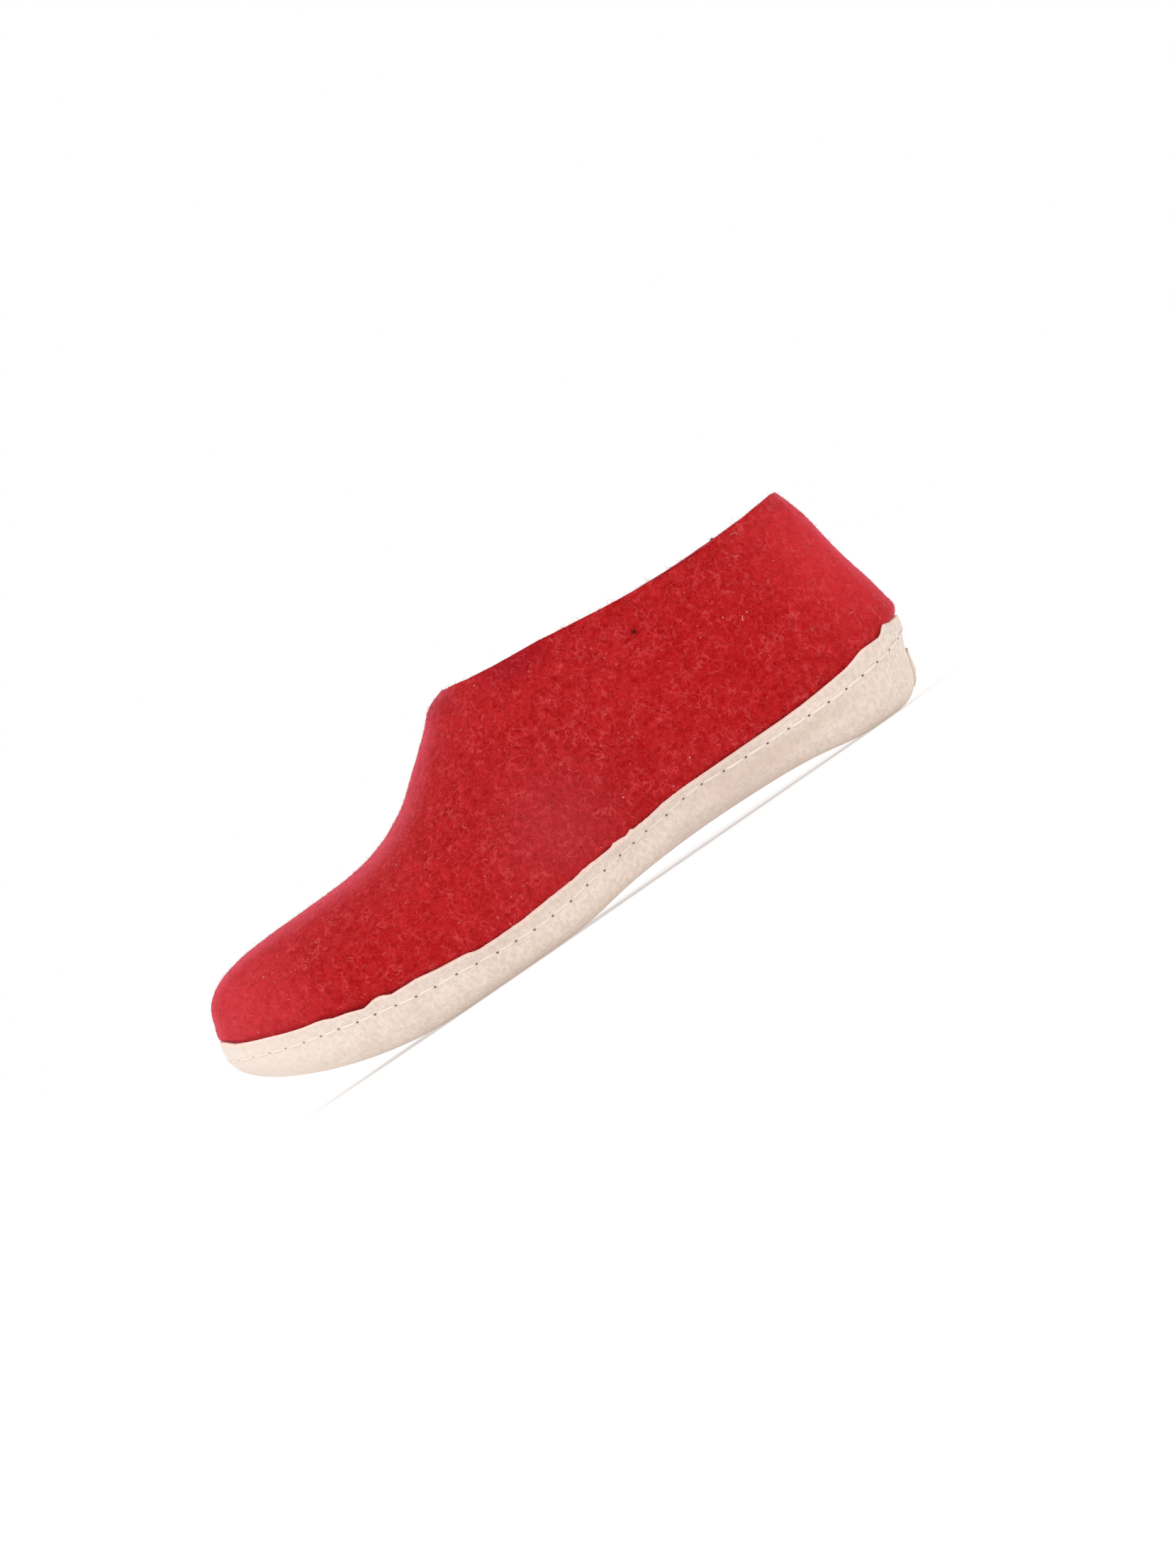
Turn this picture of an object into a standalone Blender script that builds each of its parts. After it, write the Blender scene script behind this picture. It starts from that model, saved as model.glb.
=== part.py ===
"""A left house slipper in felted wool with a cup sole of suede, standing unworn on its sole.

Metres, +Z up. The toe points to -Y, and +X is the outer side of the left foot.
Lengths along the slipper are shares of LENGTH, counted from the tip of the toe to the back of the heel.
"""

import math

import bmesh
import bpy
import numpy as np

# Driving dimensions
LENGTH = 0.262
BALL_WIDTH = 0.100
INSTEP_HEIGHT = 0.0900
HEEL_HEIGHT = 0.0813
TOE_HEIGHT = 0.0558
FELT_THICKNESS = 0.0045
SUEDE_THICKNESS = 0.0018
GAP = 0.0003

# The felt stands inside the sole, on its floor.
FELT_INSET = SUEDE_THICKNESS + GAP
CORNER_RADIUS = 0.0065
MARGIN_WIDTH = 0.007
INNER_RISE = 0.0006
COLLAR_LEAN = 0.05
RIM_ROUNDING = 0.0011
INSOLE_ROUNDING = 0.0006

# The rounded ends of the felt, as shares of LENGTH, and how square each curve is
TOE_TIP = 0.0067
TOE_CAP_RISE = 0.125
TOE_CAP_PLAN = 0.27
HEEL_CAP_PLAN = 0.15
TOE_RISE_POWER = 2.45
TOE_PLAN_POWER = 2.3
HEEL_PLAN_POWER = 2.15

# How fine the surfaces are
COLUMNS_PER_SIDE = 32
CORNER_STEPS = 3
TRIES = 160

# Over what way, in shares of LENGTH, the tables' bends are eased and a ring curls up to the ridge
BLUR = 0.02
CURL_LENGTH = 0.11

# Side view, all in shares of LENGTH: the ground side of the sole, the top edge of its suede
# wall, how far above that edge the felt is widest, how far it is drawn in at the edge, and how
# much further in the foot of the wall stands
SIDE_LINES = (
    # station, sole, edge, girth_rise, tuck, flare
    (0.00, 0.0890, 0.1400, 0.0040, 0.001, 0.003),
    (0.05, 0.0568, 0.1128, 0.0090, 0.001, 0.005),
    (0.10, 0.0335, 0.0960, 0.0120, 0.003, 0.006),
    (0.15, 0.0170, 0.0812, 0.0150, 0.004, 0.008),
    (0.20, 0.0062, 0.0722, 0.0170, 0.005, 0.010),
    (0.26, 0.0000, 0.0640, 0.0190, 0.005, 0.011),
    (0.35, 0.0000, 0.0512, 0.0230, 0.006, 0.012),
    (0.43, 0.0000, 0.0522, 0.0240, 0.006, 0.013),
    (0.55, 0.0150, 0.0642, 0.0230, 0.006, 0.013),
    (0.65, 0.0195, 0.0722, 0.0220, 0.006, 0.013),
    (0.75, 0.0170, 0.0738, 0.0230, 0.006, 0.013),
    (0.82, 0.0108, 0.0733, 0.0240, 0.005, 0.013),
    (0.88, 0.0000, 0.0766, 0.0240, 0.004, 0.014),
    (0.93, 0.0000, 0.0862, 0.0230, 0.003, 0.017),
    (0.96, 0.0055, 0.0915, 0.0200, 0.003, 0.023),
    (1.00, 0.0140, 0.1130, 0.0120, 0.003, 0.028),
)

# Top view at the girth, in shares of BALL_WIDTH from the heel's centre line: the ridge of the
# vamp, which runs nearer the inner side, and the reach to the outer and inner side of the foot
PLAN = (
    # station, ridge, outer, inner
    (0.00, -0.070, 0.330, 0.460),
    (0.08, -0.085, 0.350, 0.482),
    (0.16, -0.100, 0.385, 0.498),
    (0.24, -0.110, 0.432, 0.505),
    (0.31, -0.105, 0.476, 0.500),
    (0.38, -0.085, 0.504, 0.480),
    (0.48, -0.045, 0.496, 0.430),
    (0.58, -0.010, 0.447, 0.380),
    (0.68, 0.000, 0.400, 0.352),
    (0.78, 0.000, 0.370, 0.344),
    (0.88, 0.000, 0.352, 0.344),
    (1.00, 0.000, 0.346, 0.344),
)

# The vamp's ridge in shares of LENGTH. Past the throat it runs on as the leg that the collar
# was cut from.
THROAT = 0.475
RIDGE = (
    # station, height
    (0.14, TOE_HEIGHT / LENGTH),
    (0.24, 0.2148),
    (0.30, 0.2255),
    (0.35, 0.2485),
    (0.40, 0.2870),
    (0.44, 0.3215),
    (THROAT, INSTEP_HEIGHT / LENGTH),
    (0.52, 0.388),
    (0.60, 0.465),
    (0.70, 0.590),
    (0.80, 0.760),
    (1.00, 1.100),
)

# The collar's edge, as the share done of the way down from the instep to the heel
TOPLINE = (
    # station, drop
    (THROAT, 0.00),
    (0.50, 0.18),
    (0.55, 0.40),
    (0.65, 0.72),
    (0.75, 1.07),
    (0.82, 1.14),
    (0.90, 1.09),
    (0.95, 1.00),
    (1.00, 1.00),
)

# The back of the heel, in shares of LENGTH
HEEL_BACK = (
    # height, station
    (0.100, 0.9965),
    (0.125, 0.9958),
    (0.150, 0.9922),
    (0.180, 0.9846),
    (0.210, 0.9780),
    (0.260, 0.9700),
    (0.300, 0.9584),
    (0.330, 0.9490),
)

# How high the cross section arches: 2 is an ellipse, and more is boxier
ARCH_POWER = (
    # station, power
    (0.00, 2.30),
    (0.25, 2.30),
    (0.42, 2.00),
    (1.00, 2.00),
)

# Rings of the wall: how far up it each is, and how much of the flare is left there
WALL_RINGS = (
    # up, left
    (0.5, 0.62),
    (1.0, 0.00),
)
# The felt's roll over the edge of the suede: how far up to the girth, and the tuck left there
ROLL_SHARE = 0.35
ROLL_TUCK = 0.30

# Rings of the upper above its girth: where each crosses the ridge, and how far up the side it runs
UPPER_RINGS = (
    # front, side
    (0.0115, 0.025),
    (0.0180, 0.055),
    (0.0300, 0.090),
    (0.0500, 0.130),
    (0.0800, 0.170),
    (0.1150, 0.210),
    (0.1500, 0.250),
    (0.1850, 0.290),
    (0.2200, 0.330),
    (0.2550, 0.375),
    (0.2900, 0.425),
    (0.3250, 0.485),
    (0.3570, 0.555),
    (0.3870, 0.640),
    (0.4150, 0.740),
    (0.4420, 0.850),
    (0.4620, 0.940),
    (THROAT, 1.000),
)

FELT_RED = (0.46, 0.022, 0.027, 1.0)
INSOLE_RED = (0.38, 0.018, 0.023, 1.0)
SUEDE_CREAM = (0.82, 0.70, 0.60, 1.0)


def smooth_line(rows, column=1):
    """A function through one column of a table: cubic, and never beyond its neighbouring rows."""
    table = np.array(rows, float)
    at, value = table[:, 0], table[:, column]
    step = np.diff(at)
    rise = np.diff(value) / step
    slope = np.zeros(len(at))
    for i in range(1, len(at) - 1):
        if rise[i - 1] * rise[i] > 0:
            before = 2 * step[i] + step[i - 1]
            after = step[i] + 2 * step[i - 1]
            slope[i] = (before + after) / (before / rise[i - 1] + after / rise[i])
    slope[0], slope[-1] = rise[0], rise[-1]

    def line(x):
        x = min(max(x, at[0]), at[-1])
        i = min(int(np.searchsorted(at, x, side="right")) - 1, len(step) - 1)
        t = (x - at[i]) / step[i]
        return (
            value[i] * (1 + 2 * t) * (1 - t) ** 2
            + slope[i] * step[i] * t * (1 - t) ** 2
            + value[i + 1] * t * t * (3 - 2 * t)
            - slope[i + 1] * step[i] * t * t * (1 - t)
        )

    return line


def soft_line(rows, column):
    """As smooth_line, with its bends eased out over a short way."""
    line = smooth_line(rows, column)
    return lambda x: (line(x - BLUR) + 2 * line(x) + line(x + BLUR)) / 4


sole_line = smooth_line(SIDE_LINES, 1)
edge_line = smooth_line(SIDE_LINES, 2)
girth_rise = smooth_line(SIDE_LINES, 3)
tuck_line = smooth_line(SIDE_LINES, 4)
flare_line = smooth_line(SIDE_LINES, 5)
plan_ridge = soft_line(PLAN, 1)
plan_outer = soft_line(PLAN, 2)
plan_inner = soft_line(PLAN, 3)
ridge_line = smooth_line(RIDGE)
topline_drop = smooth_line(TOPLINE)
heel_back = smooth_line(HEEL_BACK)
arch_power = smooth_line(ARCH_POWER)


def rounded(share, power):
    """0 to 1 along a rounded end, as share goes from 0 at its tip to 1."""
    share = min(max(share, 0.0), 1.0)
    return (1 - (1 - share) ** power) ** (1 / power)


def girth_height(station):
    return edge_line(station) + girth_rise(station)


def ridge_height(station):
    tip = girth_height(TOE_TIP)
    grown = rounded((station - TOE_TIP) / TOE_CAP_RISE, TOE_RISE_POWER)
    return tip + (ridge_line(station) - tip) * grown


def topline_height(station, side):
    """The collar's edge; the inner side of the foot stands a little higher."""
    instep, heel = INSTEP_HEIGHT / LENGTH, HEEL_HEIGHT / LENGTH
    height = instep + (heel - instep) * topline_drop(station)
    if side < 0 and station > THROAT:
        share = (station - THROAT) / (1 - THROAT)
        height += INNER_RISE / LENGTH * math.sin(math.pi * share) ** 2
    return height


def half_width(station, height, side):
    """Metres from the ridge's plane to the felt's outside, at or above the girth."""
    reach = plan_outer(station) if side > 0 else plan_inner(station)
    widest = (reach - side * plan_ridge(station)) * BALL_WIDTH
    girth, ridge = girth_height(station), ridge_height(station)
    up = min(max((height - girth) / max(ridge - girth, 1e-6), 0.0), 1.0)
    power = arch_power(station)
    arch = (1 - up**power) ** (1 / power)
    toe = rounded((station - TOE_TIP) / TOE_CAP_PLAN, TOE_PLAN_POWER)
    back = heel_back(height)
    heel = rounded((back - station) / HEEL_CAP_PLAN, HEEL_PLAN_POWER)
    lean = 1 - COLLAR_LEAN * max(height - girth, 0.0) * LENGTH / HEEL_HEIGHT
    return widest * arch * toe * heel * lean


def closed_ring(front, back, height_at):
    """A ring of the felt's outside, from its front along the outer side to its back and round.

    Its points are evenly spaced along it, and each has its pair at the same station."""

    def point_at(station, side):
        height = height_at(station, side)
        x = plan_ridge(station) * BALL_WIDTH + side * half_width(station, height, side)
        return x, station * LENGTH, height * LENGTH

    tries = front + (back - front) * (1 - np.cos(np.linspace(0, math.pi, TRIES))) / 2
    path = np.zeros(TRIES)
    for side in (1, -1):
        points = np.array([point_at(station, side) for station in tries])
        path[1:] += np.cumsum(np.linalg.norm(np.diff(points, axis=0), axis=1))
    even = np.linspace(0, path[-1], COLUMNS_PER_SIDE + 1)
    stations = np.interp(even, path, tries)
    outer = [point_at(station, 1) for station in stations]
    inner = [point_at(station, -1) for station in stations[-2:0:-1]]
    return np.array(outer + inner)


def girth_ring():
    """The widest ring of the felt, just above the sole's edge."""
    back = heel_back(girth_height(1.0))
    return closed_ring(TOE_TIP, back, lambda station, side: girth_height(station))


def ring_height(front, side_share, station, side):
    """The height of an upper ring at a station: level along the side, curling up to the ridge."""
    girth = girth_height(station)
    level = girth + side_share * (topline_height(max(station, THROAT), side) - girth)
    front_girth = girth_height(front)
    front_level = front_girth + side_share * (INSTEP_HEIGHT / LENGTH - front_girth)
    curl = ridge_height(front) - front_level
    return level + curl * math.exp(-max(station - front, 0.0) / CURL_LENGTH)


def upper_ring(front, side_share):
    """A ring above the girth, from its place on the ridge to where it meets the back of the heel."""
    near_back = heel_back(ring_height(front, side_share, 1.0, 1))
    back = heel_back(ring_height(front, side_share, near_back, 1))
    return closed_ring(front, back, lambda s, side: ring_height(front, side_share, s, side))


def inward(ring):
    """Unit vectors in plan, square to a ring and pointing into the slipper."""
    along = np.roll(ring, -1, axis=0) - np.roll(ring, 1, axis=0)
    normal = np.stack([-along[:, 1], along[:, 0], np.zeros(len(ring))], axis=1)
    return normal / np.linalg.norm(normal, axis=1, keepdims=True)


def felt_floor(station):
    """The underside of the felt, in metres above the ground."""
    return sole_line(station) * LENGTH + FELT_INSET


def inset_ring(girth, inset, height_of):
    """A ring below the girth, moved inwards by inset and set to a height, both per column."""
    ring = girth + inward(girth) * np.array(inset)[:, None]
    ring[:, 2] = [height_of(i, y / LENGTH) for i, y in enumerate(ring[:, 1])]
    return ring


def lower_rings(girth):
    """The rings under the girth: the open edge underneath, the rounded corner, the wall and the roll."""
    stations = girth[:, 1] / LENGTH
    tuck = np.array([tuck_line(s) for s in stations]) * LENGTH
    foot = tuck + np.array([flare_line(s) for s in stations]) * LENGTH
    edge = np.array([edge_line(s) for s in stations]) * LENGTH
    rings = [
        inset_ring(girth, foot + CORNER_RADIUS + MARGIN_WIDTH * share, lambda i, s: felt_floor(s))
        for share in (1.0, 0.5, 0.0)
    ]
    for step in range(1, CORNER_STEPS + 1):
        turn = math.pi / 2 * step / CORNER_STEPS
        rise = CORNER_RADIUS * (1 - math.cos(turn))
        inset = foot + CORNER_RADIUS * (1 - math.sin(turn))
        rings.append(inset_ring(girth, inset, lambda i, s, rise=rise: felt_floor(s) + rise))
    corner_top = rings[-1][:, 2]
    for share, left in WALL_RINGS:
        heights = corner_top + share * (edge - corner_top)
        rings.append(inset_ring(girth, tuck + left * (foot - tuck), lambda i, s, h=heights: h[i]))
    roll = edge + ROLL_SHARE * (girth[:, 2] - edge)
    rings.append(inset_ring(girth, ROLL_TUCK * tuck, lambda i, s: roll[i]))
    return rings


def normals_of(rings):
    """Unit normals of a grid of closed rings, pointing out of the slipper."""
    around = np.roll(rings, -1, axis=1) - np.roll(rings, 1, axis=1)
    upward = np.gradient(rings, axis=0)
    normal = np.cross(around, upward)
    return normal / np.linalg.norm(normal, axis=2, keepdims=True)


def material(name, colour, roughness):
    made = bpy.data.materials.new(name)
    made.use_nodes = True
    shader = made.node_tree.nodes["Principled BSDF"]
    shader.inputs["Base Color"].default_value = colour
    shader.inputs["Roughness"].default_value = roughness
    shader.inputs["Metallic"].default_value = 0.0
    return made


def add_object(name, bm, surface):
    """Makes an object of a sheet whose faces point away from the foot, or up if it lies flat."""
    bmesh.ops.recalc_face_normals(bm, faces=bm.faces)
    mesh = bpy.data.meshes.new(name)
    bm.to_mesh(mesh)
    bm.free()
    mesh.shade_smooth()
    obj = bpy.data.objects.new(name, mesh)
    bpy.context.scene.collection.objects.link(obj)
    obj.data.materials.append(surface)
    return obj


def add_ring(bm, points):
    """A closed loop of edges through the points."""
    verts = [bm.verts.new(point) for point in points]
    edges = [bm.edges.new((a, b)) for a, b in zip(verts, verts[1:] + verts[:1])]
    return verts, edges


def add_rings(bm, rings):
    """Bridges each ring to the next; returns the first ring's vertices."""
    loops = [add_ring(bm, ring) for ring in rings]
    for (_, low), (_, high) in zip(loops[:-1], loops[1:]):
        bmesh.ops.bridge_loops(bm, edges=low + high)
    return loops[0][0]


def add_floor(bm, loop):
    """Rungs across the inside of a ring, each joining the two columns at one station."""
    for i in range(COLUMNS_PER_SIDE):
        corners = (loop[i], loop[i + 1], loop[-i - 1], loop[-i])
        bm.faces.new(list(dict.fromkeys(corners)))


def thicken(obj, thickness, outward):
    """Turns a sheet into a wall: to its outside if outward, else to its inside."""
    wall = obj.modifiers.new("wall", "SOLIDIFY")
    wall.thickness = thickness
    wall.offset = 1.0 if outward else -1.0
    wall.use_even_offset = True
    wall.use_rim = True


def round_edges(obj, radius, segments):
    edges = obj.modifiers.new("rounded edges", "BEVEL")
    edges.width = radius
    edges.segments = segments
    edges.limit_method = "ANGLE"
    edges.angle_limit = math.radians(50)


def build_upper(rings):
    """The felt shell: open at the collar, and underneath, where insole and sole close it."""
    bm = bmesh.new()
    add_rings(bm, rings)
    felt = material("red wool felt", FELT_RED, 0.95)
    upper = add_object("upper", bm, felt)
    thicken(upper, FELT_THICKNESS, outward=False)
    round_edges(upper, RIM_ROUNDING, 2)
    return upper


def build_sole(rings, wall_ring):
    """The suede cup: a floor and a wall that follow the felt, GAP outside it."""
    inner = rings + GAP * normals_of(rings)
    inner[0, :, 2] = rings[0, :, 2] - GAP
    bm = bmesh.new()
    opening = add_rings(bm, inner[: wall_ring + 1])
    add_floor(bm, opening)
    suede = material("cream suede", SUEDE_CREAM, 0.9)
    sole = add_object("sole", bm, suede)
    thicken(sole, SUEDE_THICKNESS, outward=True)
    return sole


def build_insole(opening):
    """A felt sole liner that fills the opening under the foot, level with the felt around it."""
    outline = opening + GAP * inward(opening)
    outline[:, 2] = [felt_floor(y / LENGTH) for y in outline[:, 1]]
    bm = bmesh.new()
    verts, _ = add_ring(bm, outline)
    add_floor(bm, verts)
    felt = material("red felt insole", INSOLE_RED, 0.95)
    insole = add_object("insole", bm, felt)
    thicken(insole, FELT_THICKNESS, outward=True)
    round_edges(insole, INSOLE_ROUNDING, 1)
    return insole


def centre_on_ground(objects):
    """Moves the slipper so that the origin is under the middle of its box."""
    bpy.context.view_layer.update()
    graph = bpy.context.evaluated_depsgraph_get()
    corners = np.array([c[:] for obj in objects for c in obj.evaluated_get(graph).bound_box])
    middle = (corners.min(axis=0) + corners.max(axis=0)) / 2
    for obj in objects:
        obj.location = (-middle[0], -middle[1], 0.0)


def main():
    for obj in list(bpy.data.objects):
        bpy.data.objects.remove(obj, do_unlink=True)
    girth = girth_ring()
    below = lower_rings(girth)
    above = [upper_ring(front, side) for front, side in UPPER_RINGS]
    rings = np.array([*below, girth, *above])
    upper = build_upper(rings)
    sole = build_sole(rings, wall_ring=len(below) - 2)
    insole = build_insole(rings[0])
    centre_on_ground([upper, sole, insole])


main()
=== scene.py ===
"""The looks of a left house slipper in felted wool with a cup sole of suede, laid over its CAD frame.

Metres, +Z up. The toe points to -Y, and +X is the outer side of the left foot, which the camera sees.
A station is a place along the slipper, from 0 at the tip of the toe to 1 at the back of the heel.
"""

import math
from contextlib import contextmanager

import bpy
import numpy as np
from bpy.props import FloatProperty, FloatVectorProperty, IntProperty, PointerProperty
from bpy.types import Operator, Panel, PropertyGroup
from mathutils import Matrix, Vector, noise
from mathutils.bvhtree import BVHTree


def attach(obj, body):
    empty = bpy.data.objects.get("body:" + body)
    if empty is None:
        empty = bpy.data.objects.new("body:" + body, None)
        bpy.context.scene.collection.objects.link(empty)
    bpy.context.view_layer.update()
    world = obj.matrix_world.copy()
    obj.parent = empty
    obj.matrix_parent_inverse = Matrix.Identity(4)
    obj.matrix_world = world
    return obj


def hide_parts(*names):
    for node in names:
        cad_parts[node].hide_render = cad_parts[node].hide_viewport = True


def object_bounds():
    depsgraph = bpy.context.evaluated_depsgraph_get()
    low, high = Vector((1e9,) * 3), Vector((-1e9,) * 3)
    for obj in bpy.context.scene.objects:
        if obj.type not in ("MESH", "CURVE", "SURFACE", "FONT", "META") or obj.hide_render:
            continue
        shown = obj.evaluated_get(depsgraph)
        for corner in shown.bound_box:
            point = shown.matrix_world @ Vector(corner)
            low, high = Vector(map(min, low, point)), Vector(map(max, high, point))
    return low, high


bl_info = {
    "name": "Felt slipper",
    "version": (1, 0, 0),
    "blender": (4, 5, 0),
    "location": "3D View > Sidebar > Slipper",
    "description": "Makes a wool felt slipper with a hand-sewn suede cup sole",
    "category": "Object",
}

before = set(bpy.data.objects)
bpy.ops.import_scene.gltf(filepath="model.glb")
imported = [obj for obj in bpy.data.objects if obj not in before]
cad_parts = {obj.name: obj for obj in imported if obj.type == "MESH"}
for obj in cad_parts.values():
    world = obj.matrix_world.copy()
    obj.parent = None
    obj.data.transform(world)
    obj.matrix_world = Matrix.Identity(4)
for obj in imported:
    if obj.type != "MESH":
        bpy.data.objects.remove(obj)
CAD_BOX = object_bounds()
TOE_Y = CAD_BOX[0].y
LENGTH = CAD_BOX[1].y - CAD_BOX[0].y
MM = 0.001

# Where a look at the slipper from one side starts, out from its middle
BESIDE = 0.2

# The ends of the slipper's middle line, which its walls stand round, in metres along Y
MIDDLE_LINE = (-0.075, 0.095)

# The middle of the felt: its ends along Y, and its height
FELT_MIDDLE = (-0.09, 0.10)
FELT_MIDDLE_HEIGHT = 34 * MM

# How far out from the middle the felt's rim lies, where a look from the side passes over it
RIM_OUT = 34 * MM

# A reach in mm that takes in every height
ALL_HEIGHTS = 500

# Seeds of the random draws
THREAD_SEED = 11
FRAY_SEED = 5
FIBRE_SEED = 23

# Counts: pairs of points in a short strand, hairs on the cut edge, fibres in a dark and a pale knot
STRAND_STEPS = 5
EDGE_HAIRS = 5000
BURR_FIBRES = 70
KNOT_FIBRES = 22

# The photo's frame: its height and scale in pixels, and the station and the height at its middle
PHOTO_HEIGHT = 2212
PHOTO_SCALE = 0.262 / 1141.17
PHOTO_STATION = 0.5602
PHOTO_LEVEL = 0.0374

# The cut edge of the suede on the outer side, as the knife left it, in shares of LENGTH
OUTER_EDGE = (
    # station, height
    (0.000, 0.1407),
    (0.010, 0.1342),
    (0.020, 0.1262),
    (0.030, 0.1220),
    (0.050, 0.1144),
    (0.080, 0.1034),
    (0.100, 0.0972),
    (0.120, 0.0930),
    (0.130, 0.0900),
    (0.140, 0.0852),
    (0.160, 0.0800),
    (0.178, 0.0734),
    (0.186, 0.0746),
    (0.196, 0.0762),
    (0.205, 0.0744),
    (0.216, 0.0688),
    (0.235, 0.0680),
    (0.250, 0.0675),
    (0.280, 0.0626),
    (0.310, 0.0592),
    (0.320, 0.0578),
    (0.333, 0.0534),
    (0.360, 0.0525),
    (0.400, 0.0527),
    (0.440, 0.0558),
    (0.480, 0.0582),
    (0.500, 0.0614),
    (0.540, 0.0640),
    (0.560, 0.0653),
    (0.600, 0.0690),
    (0.620, 0.0724),
    (0.650, 0.0744),
    (0.800, 0.0740),
    (0.830, 0.0750),
    (0.860, 0.0774),
    (0.900, 0.0814),
    (0.915, 0.0850),
    (0.925, 0.0884),
    (0.936, 0.0894),
    (0.955, 0.0891),
    (0.961, 0.0922),
    (0.970, 0.1002),
    (0.980, 0.0975),
    (0.990, 0.0985),
    (1.000, 0.1015),
)

# Waves in the cut edge on the inner side, which the photo hides
INNER_WAVES = (
    # station, lift mm, half width mm
    (0.120, 0.30, 5.0),
    (0.190, -0.40, 5.0),
    (0.245, 0.35, 4.5),
    (0.360, -0.25, 7.0),
    (0.455, 0.30, 6.0),
    (0.560, -0.20, 5.0),
    (0.640, 0.30, 5.0),
    (0.780, -0.20, 6.0),
)

# The needle holes of the outer side, one by one, in shares of LENGTH
NEEDLE_HOLES = (
    # station, height
    (0.0120, 0.1070),
    (0.0300, 0.1000),
    (0.0500, 0.0930),
    (0.0700, 0.0866),
    (0.0930, 0.0800),
    (0.1150, 0.0745),
    (0.1380, 0.0695),
    (0.1620, 0.0635),
    (0.1855, 0.0592),
    (0.2128, 0.0540),
    (0.2396, 0.0490),
    (0.2657, 0.0455),
    (0.2960, 0.0434),
    (0.3235, 0.0400),
    (0.3525, 0.0370),
    (0.3790, 0.0357),
    (0.4054, 0.0343),
    (0.4334, 0.0355),
    (0.4618, 0.0377),
    (0.4890, 0.0425),
    (0.5168, 0.0452),
    (0.5430, 0.0496),
    (0.5650, 0.0527),
    (0.5860, 0.0560),
    (0.6177, 0.0578),
    (0.6460, 0.0625),
    (0.6745, 0.0645),
    (0.7060, 0.0622),
    (0.7380, 0.0610),
    (0.7697, 0.0597),
    (0.8010, 0.0597),
    (0.8306, 0.0588),
    (0.8600, 0.0586),
    (0.8870, 0.0596),
    (0.9130, 0.0617),
    (0.9374, 0.0650),
    (0.9584, 0.0688),
    (0.9760, 0.0738),
)

# How full the thread lies on the suede: at the waist it is pulled thin and into the leather
THREAD_FULLNESS = (
    # station, share
    (0.00, 0.80),
    (0.14, 0.75),
    (0.24, 0.45),
    (0.45, 0.30),
    (0.64, 0.35),
    (0.72, 0.90),
    (1.00, 1.00),
)

# Soft swellings of the suede wall, out from the middle of the slipper
SUEDE_SWELLS = (
    # side, station, height mm, along mm, across mm, swell mm
    (0, 0.000, 26.5, 9.0, 8.5, 1.9),
    (0, 0.000, 36.5, 8.0, 2.0, -0.5),
    (0, 0.995, 22.5, 8.0, 3.0, 0.4),
    (1, 0.220, 9.0, 9.0, 5.0, 0.5),
    (1, 0.330, 7.0, 12.0, 4.0, 0.4),
    (1, 0.560, 10.0, 10.0, 4.0, -0.5),
    (1, 0.690, 12.0, 12.0, 5.0, 0.4),
    (1, 0.850, 11.0, 14.0, 5.0, -0.4),
    (-1, 0.300, 8.0, 12.0, 4.0, 0.5),
    (-1, 0.620, 11.0, 14.0, 4.0, -0.5),
)

# Where the top of the suede wall leans in (minus) or out, over its upper 6 mm
RIM_LEANS = (
    # station, lean mm, half width mm
    (1.000, -1.1, 7.0),
    (0.000, -0.4, 8.0),
)

# Soft troughs (minus) and ridges (plus) in the felt
FELT_FOLDS = (
    # side, station, height mm, along mm, across mm, lift mm
    (0, 0.000, 37.5, 8.0, 3.5, 1.0),
    (0, 0.030, 51.5, 12.0, 7.0, 0.7),
    (0, 0.000, 44.0, 9.0, 5.0, 0.2),
    (0, 1.000, 28.3, 8.0, 3.4, 1.5),
    (0, 0.965, 76.0, 7.0, 7.0, 0.6),
    (0, 0.456, 85.5, 6.0, 4.5, 1.2),
    (0, 0.300, 58.0, 9.0, 16.0, -0.4),
    (0, 0.352, 65.5, 7.0, 6.0, -0.3),
    (1, 0.200, 46.0, 24.0, 5.0, -0.6),
    (1, 0.150, 36.0, 22.0, 7.0, 0.4),
    (1, 0.390, 52.0, 10.0, 20.0, 0.5),
    (1, 0.470, 34.0, 20.0, 12.0, 0.5),
    (1, 0.560, 60.0, 16.0, 12.0, -0.5),
    (1, 0.680, 48.0, 9.0, 7.0, -0.7),
    (1, 0.770, 34.0, 22.0, 10.0, 0.4),
    (1, 0.880, 52.0, 7.0, 16.0, -0.6),
    (1, 0.940, 38.0, 8.0, 10.0, 0.5),
    (-1, 0.260, 44.0, 22.0, 8.0, -0.4),
    (-1, 0.430, 50.0, 14.0, 16.0, 0.5),
    (-1, 0.620, 46.0, 18.0, 12.0, -0.6),
    (-1, 0.800, 40.0, 16.0, 14.0, 0.5),
)

# Soft patches of another shade in the felt: paler waist, deep back, deep front, and painted pink sheen on the
# toe and the heel
FELT_PATCHES = (
    # station, height mm, reach along mm, reach up mm, share, screen colour
    (0.50, 32, 34, 34, 0.20, (194, 80, 90)),
    (0.78, 46, 66, 44, 0.22, (192, 0, 0)),
    (0.25, 28, 40, 22, 0.22, (182, 0, 0)),
    # painted sheen: the toe and the heel turn lighter and pinker
    (0.00, 42, 50, 52, 0.34, (255, 86, 98)),
    (1.00, 60, 44, 64, 0.46, (255, 62, 70)),
)
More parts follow.
